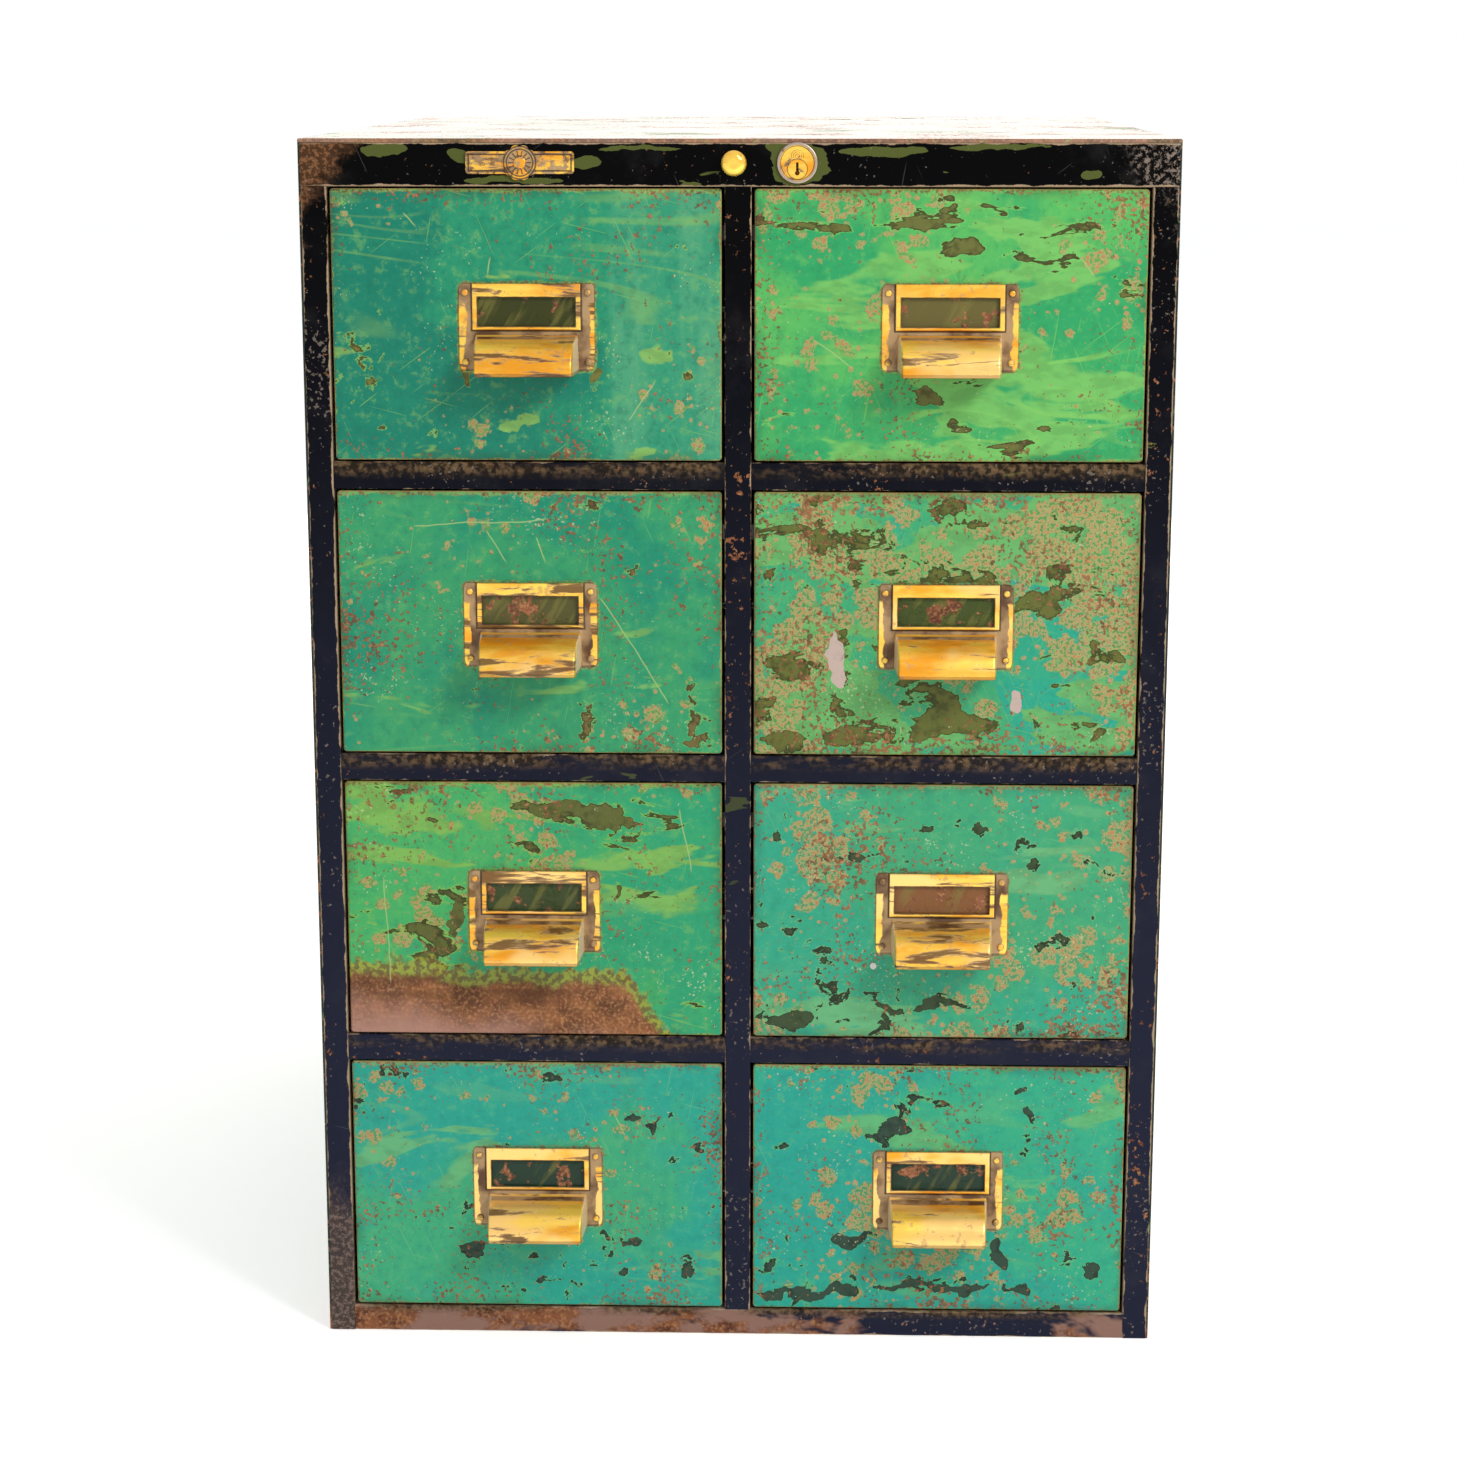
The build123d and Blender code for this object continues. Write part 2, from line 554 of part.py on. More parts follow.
def drawer_tray(x0, row):
    """Liner behind the front, floor with its guide rails, sides, back and the lug for the lock."""
    xa, xb, za, zb = tray_span(x0, row)
    fa, fb, ga, gb = front_span(x0, row)
    t = TRAY_SHEET
    middle = (xa + xb) / 2
    rear_drop = 20.0
    liner = block(fa + SHEET, fb - SHEET, TRAY_FRONT - SHEET, TRAY_FRONT, ga + SHEET, gb - SHEET)
    floor = block(xa + t, xb - t, TRAY_FRONT, TRAY_BACK - t, za, za + t)
    rear = block(xa + t, xb - t, TRAY_BACK - t, TRAY_BACK, za, zb - rear_drop)
    made = [liner, floor, rear]
    for part in tray_left_side(xa, za, zb, runner_z(row)):
        made += [part, Pos(middle, 0, 0) * mirrored(Pos(-middle, 0, 0) * part)]
    for x in (middle - GUIDE_HALF - GUIDE_WIDTH, middle + GUIDE_HALF):
        made.append(block(x, x + GUIDE_WIDTH, TRAY_FRONT, TRAY_BACK - t, za + t, za + t + GUIDE_HEIGHT))
    # the lug stands off the side next to the mullion, just behind the lock bar's finger
    lug_reach, lug_sheet, lug_height = 7.0, 3.0, 12.0
    lug_z = opening_bottom(row) + LUG_TOP
    lug_y = LOCK_BAR_Y + LOCK_BAR_SHEET + FINGER_SHEET + GUIDE_GAP
    lug_x = (xb, xb + lug_reach) if x0 < 0 else (xa - lug_reach, xa)
    made.append(block(*lug_x, lug_y, lug_y + lug_sheet, lug_z - lug_height, lug_z))
    return group(made)


FOLLOWER_FOOT = 70.0
FOLLOWER_HEIGHT = 118.0
FOLLOWER_GAP = 0.4       # follower above the tray's floor
FOLLOWER_SIDE_GAP = 4.0
FOLLOWER_REAR_GAP = 4.0  # follower to the tray's back, at the rear of its travel
FOOT_GAP = 0.3           # foot to the guide rails, each side
PLATE_GAP = 1.0          # plate above the guide rails


def drawer_follower(x0, row):
    """Plate that holds the cards upright, braced on a foot that runs between the guide rails."""
    xa, xb, za, _ = tray_span(x0, row)
    xa, xb = xa + TRAY_SHEET + FOLLOWER_SIDE_GAP, xb - TRAY_SHEET - FOLLOWER_SIDE_GAP
    z0 = za + TRAY_SHEET + FOLLOWER_GAP
    over_rails = z0 + GUIDE_HEIGHT + PLATE_GAP
    rear = TRAY_BACK - TRAY_SHEET - FOLLOWER_REAR_GAP
    front = rear - FOLLOWER_FOOT
    middle = (xa + xb) / 2
    foot_half, corner = GUIDE_HALF - FOOT_GAP, 14.0
    brace_height, brace_end = 80.0, 12.0
    grip_side, grip_width, grip_height, grip_corner = 4.0, 20.0, 9.0, 4.0
    grip_front, grip_rear = rear - 16.0, rear - 2.0
    foot = block(middle - foot_half, middle + foot_half, front, rear, z0, z0 + SHEET)
    plate = block(xa, xb, front - SHEET, front, over_rails, z0 + FOLLOWER_HEIGHT)
    plate = fillet(plate.edges().filter_by(Axis.Y).group_by(Axis.Z)[-1], corner)
    tongue = block(middle - foot_half, middle + foot_half, front - SHEET, front, z0, over_rails)
    rib = make_face(Polyline((front, z0 + SHEET), (rear - brace_end, z0 + SHEET),
                             (front, z0 + brace_height), close=True))
    brace = Pos(middle - SHEET / 2, 0, 0) * extrude(Plane.YZ * rib, amount=SHEET)
    grip = block(middle + grip_side, middle + grip_side + grip_width, grip_front, grip_rear,
                 z0 + SHEET, z0 + SHEET + grip_height)
    grip = fillet(grip.edges().filter_by(Axis.Z), grip_corner)
    return group([foot + tongue + plate + brace, grip])


# ---- all the nodes ------------------------------------------------------------------------
def nodes():
    """Every node's name and shape."""
    made = {
        "left_side_panel": side_panel(),
        "right_side_panel": mirrored(side_panel()),
        "top_panel": top_panel(),
        "back_panel": back_panel(),
        "back_panel_screws": back_panel_screws(),
        "base_pan": base_pan(),
        "front_stiles": front_stiles(),
        "mullion": mullion(),
        "top_rail": top_rail(),
        "bottom_rail": bottom_rail(),
        "cross_rails": cross_rails(),
        "drawer_runners": drawer_runners(),
        "rear_posts": rear_posts(),
        "nameplate": nameplate(),
        "lock_cylinder": lock_cylinder(),
        "lock_ring": lock_ring(),
        "lock_plug": lock_plug(),
        "lock_button": lock_button(),
        "lock_bar": lock_bar(),
        "lock_spring": lock_spring(),
    }
    for side, x0 in COLUMNS.items():
        for row in range(1, ROWS + 1):
            name = f"drawer_{side}_{row}"
            made[f"{name}_front"] = drawer_front(x0, row)
            made[f"{name}_tray"] = drawer_tray(x0, row)
            made[f"{name}_pull"] = drawer_pull(x0, row)
            made[f"{name}_pull_rivets"] = pull_rivets(x0, row)
            made[f"{name}_follower"] = drawer_follower(x0, row)
    return made


os.makedirs("parts", exist_ok=True)
for node, shape in nodes().items():
    export_step(shape, f"parts/{node}.step")
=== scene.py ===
from math import cos, pi, radians, sin

import bmesh
import bpy
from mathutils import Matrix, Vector


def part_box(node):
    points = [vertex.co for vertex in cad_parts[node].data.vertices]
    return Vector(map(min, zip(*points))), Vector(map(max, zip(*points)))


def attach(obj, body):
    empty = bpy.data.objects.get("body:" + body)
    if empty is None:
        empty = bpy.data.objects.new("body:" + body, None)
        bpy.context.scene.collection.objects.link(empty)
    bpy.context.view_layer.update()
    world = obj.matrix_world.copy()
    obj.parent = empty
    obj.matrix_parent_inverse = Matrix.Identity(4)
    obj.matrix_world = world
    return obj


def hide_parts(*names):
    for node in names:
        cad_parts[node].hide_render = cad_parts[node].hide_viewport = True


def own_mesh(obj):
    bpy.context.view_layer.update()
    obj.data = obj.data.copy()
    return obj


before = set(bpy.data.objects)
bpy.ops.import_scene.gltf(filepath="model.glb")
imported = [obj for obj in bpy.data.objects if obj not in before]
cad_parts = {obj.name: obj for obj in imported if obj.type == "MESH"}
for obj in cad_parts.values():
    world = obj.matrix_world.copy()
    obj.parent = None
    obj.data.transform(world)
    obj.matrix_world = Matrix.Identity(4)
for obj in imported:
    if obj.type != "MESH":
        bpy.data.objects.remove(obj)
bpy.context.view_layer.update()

MM = 0.001
X, Y, Z = 0, 1, 2
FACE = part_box("drawer_left_1_front")[0].y        # face of the drawer fronts
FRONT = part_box("mullion")[0].y                   # face of the frame
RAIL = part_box("bottom_rail")[1].z                # height of a rail
UP = Vector((0, 0, 1))


# ---- shader graphs ------------------------------------------------------------------------
LIGHT = 1.25       # light that falls on the front, so that paint comes out at its screen value
METAL = 1.1        # a bare metal's reflection of that light


def screen(r, g, b):
    """A paint's linear colour from 0-255 screen values."""
    parts = [c / 255 for c in (r, g, b)]
    parts = [c / 12.92 if c <= 0.04045 else ((c + 0.055) / 1.055) ** 2.4 for c in parts]
    return tuple(c / LIGHT for c in parts) + (1.0,)


def metal(r, g, b):
    """A bare metal's linear colour from the values it shows under an even light."""
    return tuple(min(1.0, METAL * LIGHT * c) for c in screen(r, g, b)[:3]) + (1.0,)


def darker(colour, share):
    """The same hue, with that share of its light."""
    return tuple(share * c for c in colour[:3]) + (1.0,)


class Graph:
    """A material under construction. Most methods add nodes and return an output socket.

    colour is the colour so far, and lay() puts another over it. seed is added to each pattern's own."""

    def __init__(self, name, seed=0):
        self.seed = seed
        self.colour = (0, 0, 0, 1)
        self.material = bpy.data.materials.new(name)
        self.material.use_nodes = True
        self.tree = self.material.node_tree
        self.tree.nodes.clear()
        self.point = self.tree.nodes.new("ShaderNodeTexCoord").outputs["Object"]

    def feed(self, socket, value):
        if isinstance(value, bpy.types.NodeSocket):
            self.tree.links.new(value, socket)
        else:
            socket.default_value = value

    def math(self, operation, a, b=0.0, clamp=False):
        node = self.tree.nodes.new("ShaderNodeMath")
        node.operation = operation
        node.use_clamp = clamp
        self.feed(node.inputs[0], a)
        self.feed(node.inputs[1], b)
        return node.outputs[0]

    def add(self, *values):
        made = values[0]
        for value in values[1:]:
            made = self.math("ADD", made, value)
        return made

    def times(self, *values):
        made = values[0]
        for value in values[1:]:
            made = self.math("MULTIPLY", made, value)
        return made

    def minus(self, a, b):
        return self.math("SUBTRACT", a, b)

    def least(self, a, b):
        return self.math("MINIMUM", a, b)

    def most(self, a, b):
        return self.math("MAXIMUM", a, b)

    def size(self, a):
        return self.math("ABSOLUTE", a)

    def either(self, *masks):
        """The highest of some masks."""
        made = masks[0]
        for mask in masks[1:]:
            made = self.most(made, mask)
        return made

    def without(self, mask, cut):
        """mask where cut is low."""
        return self.times(mask, self.math("SUBTRACT", 1.0, cut, clamp=True))

    def step(self, value, low, high):
        """0 at low and 1 at high, smooth between. low may be the larger."""
        node = self.tree.nodes.new("ShaderNodeMapRange")
        node.interpolation_type = "SMOOTHSTEP"
        self.feed(node.inputs["Value"], value)
        self.feed(node.inputs["From Min"], low)
        self.feed(node.inputs["From Max"], high)
        return node.outputs["Result"]

    def above(self, value, limit, width):
        """0 up to limit, and 1 from there by width, which may be negative."""
        return self.step(value, limit, limit + width)

    def axis(self, which, centre=0.0, unit=1.0):
        """One coordinate of the point, counted from centre."""
        node = self.tree.nodes.new("ShaderNodeSeparateXYZ")
        self.feed(node.inputs[0], self.point)
        return self.times(self.add(node.outputs[which], -centre), 1 / unit)

    def mapped(self, stretch, seed, tilt):
        """The point, turned by tilt degrees about Y and then stretched."""
        node = self.tree.nodes.new("ShaderNodeMapping")
        node.vector_type = "TEXTURE"
        self.feed(node.inputs["Vector"], self.point)
        place = self.seed + seed
        node.inputs["Location"].default_value = (0.1 * place, 0.17 * place, 0.23 * place)
        node.inputs["Rotation"].default_value = (0, radians(tilt), 0)
        node.inputs["Scale"].default_value = [1 / s for s in stretch]
        return node.outputs[0]

    def noise(self, scale, stretch=(1, 1, 1), seed=0.0, detail=3.0, rough=0.55, warp=0.0, tilt=0.0):
        """Fractal noise, about 0.5 on average. scale is in cycles per metre."""
        node = self.tree.nodes.new("ShaderNodeTexNoise")
        self.feed(node.inputs["Vector"], self.mapped(stretch, seed, tilt))
        node.inputs["Scale"].default_value = scale
        node.inputs["Detail"].default_value = detail
        node.inputs["Roughness"].default_value = rough
        node.inputs["Distortion"].default_value = warp
        return node.outputs[0]

    def swing(self, size, *args, **named):
        """Noise about zero, times size."""
        return self.times(self.add(self.noise(*args, **named), -0.5), size)

    def cells(self, scale, seed):
        """Distance to the nearest of some scattered points: 0 at a point, about 0.5 between."""
        node = self.tree.nodes.new("ShaderNodeTexVoronoi")
        self.feed(node.inputs["Vector"], self.mapped((1, 1, 1), seed, 0))
        node.inputs["Scale"].default_value = scale
        return node.outputs["Distance"]

    def mix(self, mask, under, over):
        """Colour under, with over laid on it where mask is 1."""
        node = self.tree.nodes.new("ShaderNodeMix")
        node.data_type = "RGBA"
        self.feed(node.inputs[0], mask)
        self.feed(node.inputs[6], under)
        self.feed(node.inputs[7], over)
        return node.outputs[2]

    def lay(self, over, mask, share=None):
        """Lay a colour over the colour so far, where mask is 1, or in that share of it."""
        self.colour = self.mix(mask if share is None else self.times(mask, share), self.colour, over)

    def blend(self, mask, under, over):
        """Number under, with over in its place where mask is 1."""
        node = self.tree.nodes.new("ShaderNodeMix")
        node.data_type = "FLOAT"
        self.feed(node.inputs[0], mask)
        self.feed(node.inputs[2], under)
        self.feed(node.inputs[3], over)
        return node.outputs[0]

    def bump(self, height, depth, normal=None):
        """Relief of that depth in metres."""
        node = self.tree.nodes.new("ShaderNodeBump")
        node.inputs["Distance"].default_value = depth
        self.feed(node.inputs["Height"], height)
        if normal:
            self.feed(node.inputs["Normal"], normal)
        return node.outputs[0]

    def scratches(self, seed, amount):
        """Thin short lines that lie in the XZ plane, at several angles."""
        limit = 0.775 - 0.06 * amount
        made = []
        for i, tilt in enumerate((14, -37, 66, -80)):
            line = self.noise(9, (2, 2, 70), seed + 3 * i, 1.0, 0.5, 0.2, tilt)
            made.append(self.step(line, limit, limit + 0.02))
        return self.either(*made)

    def finish(self, roughness, normal, metallic=0.0, specular=0.5):
        """The material, with the colour so far."""
        shader = self.tree.nodes.new("ShaderNodeBsdfPrincipled")
        self.feed(shader.inputs["Base Color"], self.colour)
        self.feed(shader.inputs["Roughness"], roughness)
        self.feed(shader.inputs["Metallic"], metallic)
        self.feed(shader.inputs["Normal"], normal)
        shader.inputs["Specular IOR Level"].default_value = specular
        output = self.tree.nodes.new("ShaderNodeOutputMaterial")
        self.tree.links.new(shader.outputs[0], output.inputs[0])
        return self.material


RUST_DARK = screen(98, 58, 40)
RUST = screen(146, 92, 60)
RUST_PALE = screen(196, 140, 96)
OLIVE = screen(96, 104, 52)
DIRT = screen(44, 36, 24)
DUST = screen(118, 94, 66)


def rust_colour(g, seed):
    """Brown and orange rust, mottled."""
    broad = g.step(g.noise(70, seed=seed, detail=3), 0.35, 0.65)
    fine = g.step(g.noise(420, seed=seed + 1, detail=2), 0.45, 0.7)
    return g.mix(g.times(fine, 0.6), g.mix(broad, RUST_DARK, RUST), RUST_PALE)


# ---- drawer paint -------------------------------------------------------------------------
# Each drawer's own colours and wear. coat, second: the top coat's two tones, and turn: the side
# that the second lies on. under: the paler coat beneath. old: the first coat. window: what the
# label window shows. brass: how smeared and how pale the pull is. worn, grain, chips, speckle: how
# much there is of each kind of wear. soft, drag and gather are optional: how soft the coat's edges
# are, how long its chips are, and how closely they keep to the spots. Scuffs and spots are where
# wear and chips gather: x and z from -1 to 1 over the drawer, half width, half height, strength.
# Lines are long scratches, from one place to another.
DRAWERS = {
    "left_1": dict(
        coat=(18, 124, 100), second=(36, 144, 106), under=(134, 184, 92), old=(112, 112, 52),
        window=(58, 62, 22), brass=(1.2, 0.1), turn=(0.9, 0.1), seed=11,
        worn=0.3, grain=0.35, chips=0.15, speckle=0.16, soft=0.1,
        scuffs=[(-0.42, -0.52, 0.22, 0.09, 1.6), (-0.16, -0.66, 0.24, 0.08, 1.7),
                (0.12, -0.72, 0.26, 0.1, 1.6), (0.62, -0.35, 0.09, 0.5, 1.4), (0.45, -0.92, 0.5, 0.1, 1.3),
                (0.62, 0.78, 0.14, 0.1, 1.2)],
        spots=[(-0.34, -0.42, 0.022, 0.13, 1), (0.36, -0.15, 0.018, 0.07, 1),
               (0.355, -0.37, 0.026, 0.04, 1), (0.84, -0.36, 0.06, 0.05, 0.7), (0.8, 0.62, 0.05, 0.1, 0.6),
               (0.14, -0.7, 0.05, 0.03, 0.8)],
        lines=[(-0.62, 0.83, -0.56, 0.72), (-0.18, 0.5, -0.2, 0.36), (0.52, -0.7, 0.66, -0.4)]),
    "right_1": dict(
        coat=(44, 158, 96), second=(84, 178, 92), under=(118, 190, 96), old=(102, 106, 50),
        window=(104, 96, 50), brass=(0.4, 0.6), turn=(-0.1, 0.6), seed=23,
        worn=0.6, grain=1, chips=0.62, speckle=0.45, drag=0.45, gather=0.17,
        scuffs=[(-0.3, 0.5, 0.6, 0.3, 0.7), (0.35, -0.55, 0.6, 0.25, 0.7), (0.3, 0.75, 0.5, 0.12, 0.6)],
        spots=[(-0.8, 0.82, 0.26, 0.16, 1), (-0.2, 0.8, 0.26, 0.07, 1), (0.02, 0.58, 0.16, 0.08, 0.9),
               (-0.1, -0.56, 0.12, 0.07, 1), (0.05, -0.74, 0.07, 0.06, 1), (0.62, -0.7, 0.22, 0.07, 0.9),
               (0.92, 0.3, 0.07, 0.1, 0.9), (0.55, 0.38, 0.1, 0.06, 0.7), (0.96, -0.1, 0.04, 0.3, 0.6)],
        lines=[(-0.7, -0.1, -0.5, -0.3), (0.66, 0.5, 0.74, 0.36)]),
    "left_2": dict(
        coat=(24, 138, 106), second=(52, 152, 100), under=(120, 178, 96), old=(110, 100, 54),
        window=(86, 84, 42), brass=(1.2, 0.4), turn=(0.4, -0.2), seed=37,
        worn=0.2, grain=0.25, chips=0.15, speckle=0.55,
        scuffs=[(0.1, 0.86, 0.7, 0.08, 0.7), (-0.72, 0.2, 0.12, 0.6, 0.5), (0.2, -0.85, 0.8, 0.12, 0.6)],
        spots=[(-0.7, 0.42, 0.05, 0.05, 0.5), (0.52, 0.4, 0.05, 0.04, 0.5), (0.9, -0.92, 0.1, 0.05, 0.8)],
        lines=[(0.37, 0.2, 0.72, -0.62), (-0.22, 0.7, -0.12, 0.46), (0.04, 0.66, 0.08, 0.46),
               (-0.3, 0.3, -0.24, 0.12), (-0.6, 0.74, 0.1, 0.79)]),
    "right_2": dict(
        coat=(34, 160, 132), second=(58, 162, 110), under=(106, 174, 96), old=(98, 104, 46),
        window=(66, 80, 34), brass=(0.3, 0.4), turn=(-0.4, 0.2), seed=41,
        worn=1.45, grain=0.6, chips=1, speckle=1.12, soft=0.04, drag=0.7, gather=0.14,
        scuffs=[(-0.75, 0.4, 0.3, 0.5, 0.7), (-0.6, -0.5, 0.35, 0.4, 0.7), (0.05, -0.55, 0.36, 0.18, -1.6),
                (-0.2, 0.8, 0.26, 0.14, -1.2), (0.8, -0.3, 0.16, 0.2, -0.8)],
        spots=[(-0.78, -0.32, 0.16, 0.14, 0.9), (-0.5, -0.18, 0.05, 0.3, 1.1), (0.66, 0.7, 0.26, 0.1, 0.9),
               (0.74, -0.24, 0.26, 0.06, 1), (0.66, -0.44, 0.2, 0.05, 1), (0.1, -0.74, 0.24, 0.1, 1),
               (-0.7, -0.86, 0.3, 0.06, 1), (0.86, 0.25, 0.06, 0.16, 0.8), (0.62, -0.76, 0.2, 0.06, 0.9)],
        lines=[]),
    "left_3": dict(
        coat=(38, 154, 108), second=(66, 168, 96), under=(128, 180, 82), old=(92, 98, 46),
        window=(58, 72, 36), brass=(1, 0.6), turn=(-0.6, 0.5), seed=59,
        worn=0.42, grain=0.8, chips=0.4, speckle=0.6, drag=0.5, gather=0.2,
        scuffs=[(-0.1, 0.72, 0.8, 0.16, 0.9), (-0.55, 0.3, 0.4, 0.12, 0.6), (0.75, 0.1, 0.15, 0.6, 0.5)],
        spots=[(0.2, 0.76, 0.3, 0.08, 1), (-0.46, 0.7, 0.14, 0.04, 0.9), (0.42, 0.66, 0.16, 0.04, 0.9),
               (-0.4, -0.08, 0.035, 0.1, 1.2), (-0.385, -0.22, 0.018, 0.03, 1.2),
               (0.4, 0.16, 0.025, 0.07, 1)],
        lines=[(-0.8, 0.25, -0.78, -0.6), (0.78, 0.8, 0.84, 0.3)]),
    "right_3": dict(
        coat=(44, 160, 128), second=(58, 160, 112), under=(106, 176, 118), old=(58, 76, 48),
        window=(134, 88, 50), brass=(0.8, 0.6), turn=(0.5, 0.5), seed=67,
        worn=0.32, grain=0.4, chips=0.45, speckle=0.78,
        scuffs=[(-0.5, 0.5, 0.4, 0.3, 0.5), (-0.6, -0.8, 0.5, 0.14, 0.8), (0.5, -0.7, 0.4, 0.1, 0.5)],
        spots=[(-0.02, 0.66, 0.14, 0.05, 1), (-0.52, 0.46, 0.12, 0.05, 0.9), (0.2, 0.62, 0.05, 0.05, 0.9),
               (0.62, -0.25, 0.12, 0.1, 0.9), (0.5, 0.36, 0.05, 0.08, 0.9), (-0.85, -0.88, 0.2, 0.08, 1),
               (0.00, -0.76, 0.3, 0.035, 0.9), (0.92, -0.6, 0.06, 0.05, 0.9)],
        lines=[]),
    "left_4": dict(
        coat=(34, 158, 138), second=(58, 166, 118), under=(104, 178, 118), old=(50, 74, 60),
        window=(36, 60, 46), brass=(0.8, 1), turn=(-0.4, 0.1), seed=73,
        worn=0.4, grain=0.35, chips=0.42, speckle=0.6,
        scuffs=[(-0.4, 0.4, 0.5, 0.5, 0.4), (-0.85, -0.1, 0.12, 0.8, 0.6)],
        spots=[(-0.98, 0.7, 0.04, 0.14, 1), (0.6, 0.48, 0.04, 0.08, 1.1), (0.52, 0.6, 0.03, 0.05, 1),
               (0.72, 0.52, 0.03, 0.04, 0.9), (0.92, 0.32, 0.05, 0.06, 1), (0.5, -0.7, 0.05, 0.06, 1.2),
               (0.8, -0.66, 0.05, 0.14, 1.2), (-0.34, -0.5, 0.07, 0.07, 1.1), (-0.1, -0.82, 0.3, 0.05, 1),
               (0.5, -0.48, 0.04, 0.04, 0.9), (0.97, -0.2, 0.03, 0.1, 0.8)],
        lines=[(0.42, 0.6, 0.48, 0.4)]),
    "right_4": dict(
        coat=(32, 158, 140), second=(46, 166, 128), under=(98, 178, 112), old=(48, 72, 58),
        window=(40, 62, 48), brass=(0.6, 0.9), turn=(0.4, 0.5), seed=89,
        worn=0.36, grain=0.45, chips=0.45, speckle=0.74,
        scuffs=[(0.25, 0.62, 0.5, 0.22, 0.8), (0.85, 0, 0.12, 0.7, 0.5)],
        spots=[(-0.26, 0.46, 0.1, 0.09, 1.2), (-0.88, 0.36, 0.08, 0.07, 1), (0.42, 0.8, 0.05, 0.04, 1.1),
               (0.5, 0.62, 0.03, 0.06, 1.1), (0.46, 0.38, 0.05, 0.1, 1.1), (-0.52, 0.08, 0.035, 0.07, 1.1),
               (-0.46, -0.42, 0.11, 0.06, 1.2), (0.35, -0.48, 0.03, 0.12, 1.1),
               (0.85, -0.62, 0.04, 0.08, 1.1), (-0.72, -0.88, 0.28, 0.04, 1), (0, -0.8, 0.4, 0.03, 0.9),
               (0.44, -0.8, 0.05, 0.05, 0.9)],
        lines=[]),
}
WINDOW_X, WINDOW_Z = 32.0, (0.0, 20.0)      # label window on the pull, millimetres from the pull's centre
PLATE_X, PLATE_Z = 43.75, 28.0              # plate of the pull: half its width and height


def near(g, across, up, spot, softness=1.0):
    """A soft oval mask. across and up run from -1 to 1 over the drawer."""
    x, z, width, height = spot
    dx = g.times(g.add(across, -x), 1 / width)
    dz = g.times(g.add(up, -z), 1 / height)
    return g.step(g.add(g.times(dx, dx), g.times(dz, dz)), 1.0 + softness, 1.0 - softness)


def inside(g, x, z, half, span):
    """Distance in from the border of a box on the drawer's face, in millimetres."""
    sides = g.minus(half, g.size(x))
    ends = g.least(g.add(z, -span[0]), g.minus(span[1], z))
    return g.least(sides, ends)


def round_box(g, x, z, half_x, half_z, radius):
    """Distance outside a box with round corners, in millimetres."""
    dx = g.most(g.add(g.size(x), radius - half_x), 0.0)
    dz = g.most(g.add(g.size(z), radius - half_z), 0.0)
    return g.add(g.math("SQRT", g.add(g.times(dx, dx), g.times(dz, dz))), -radius)


def long_scratch(g, x, z, start, end, wander):
    """A thin line between two places in millimetres, that wavers a little."""
    run = Vector(end) - Vector(start)
    length = run.length
    run.normalize()
    dx, dz = g.add(x, -start[0]), g.add(z, -start[1])
    along = g.add(g.times(dx, run.x), g.times(dz, run.y))
    off = g.add(g.times(dx, -run.y), g.times(dz, run.x), wander)
    line = g.step(g.size(off), 0.6, 0.15)
    return g.times(line, g.step(along, -1.0, 2.0), g.step(along, length + 1, length - 4))


class DrawerGraph(Graph):
    """A drawer front's material, with the places and tones that its layers share."""

    def __init__(self, key, look):
        super().__init__(f"paint_{key}", look["seed"])
        self.look = look
        low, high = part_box(f"drawer_{key}_front")
        centre, self.half = (low + high) / 2, (high - low) / 2 / MM
        self.x, self.z = self.axis(X, centre.x, MM), self.axis(Z, centre.z, MM)
        self.across = self.times(self.x, 1 / self.half.x)
        self.up = self.times(self.z, 1 / self.half.z)
        self.wavy_x = self.add(self.across, self.swing(0.3, 30, seed=50, detail=3, rough=0.6))
        self.wavy_z = self.add(self.up, self.swing(0.34, 42, seed=51, detail=3, rough=0.6))
        self.from_side = self.minus(self.half.x, self.size(self.x))
        self.inward = self.least(self.from_side, self.minus(self.half.z, self.size(self.z)))
        self.soft = look.get("soft", 0.14)
        self.brush = self.noise(26, (0.22, 1, 1.6), 2, 3, 0.6, 0.2)
        self.upright = self.noise(26, (1.6, 1, 0.2), 4, 3, 0.6, 0.2)
        self.grit = self.noise(430, seed=19, detail=2, rough=0.6)
        self.under, self.old = screen(*look["under"]), screen(*look["old"])
        self.rust = rust_colour(self, 26)


def top_coat(g, key):
    """Two tones of green with soft brush marks, mottled."""
    look = g.look
    coat, second = screen(*look["coat"]), screen(*look["second"])
    broad = g.noise(6, (1, 1, 1.4), 0, 3, 0.6, 0.3)
    turn_x, turn_z = look["turn"]
    turned = g.add(g.times(g.across, 0.16 * turn_x), g.times(g.up, 0.16 * turn_z))
    toward = g.add(turned, broad, g.times(g.upright, 0.25))
    g.colour = g.mix(g.above(toward, 0.58, g.soft), coat, second)
    g.lay(second, g.step(g.brush, 0.46, 0.72), 0.35)
    g.lay(darker(coat, 0.78), g.step(g.upright, 0.54, 0.76), 0.4)
    if key == "left_1":      # rubbed paler towards the right
        beyond = g.step(g.add(g.across, g.swing(0.16, 14, (1, 1, 0.3), -4)), 0.38, 0.46)
        paler = g.mix(g.step(g.upright, 0.44, 0.62), screen(50, 148, 112), screen(84, 162, 120))
        g.lay(paler, beyond, 0.75)
    mottled = g.noise(130, seed=3, detail=5, rough=0.72)
    g.lay(darker(coat, 0.72), g.step(mottled, 0.5, 0.66), 0.4)
    g.lay(g.under, g.step(mottled, 0.47, 0.34), 0.3)


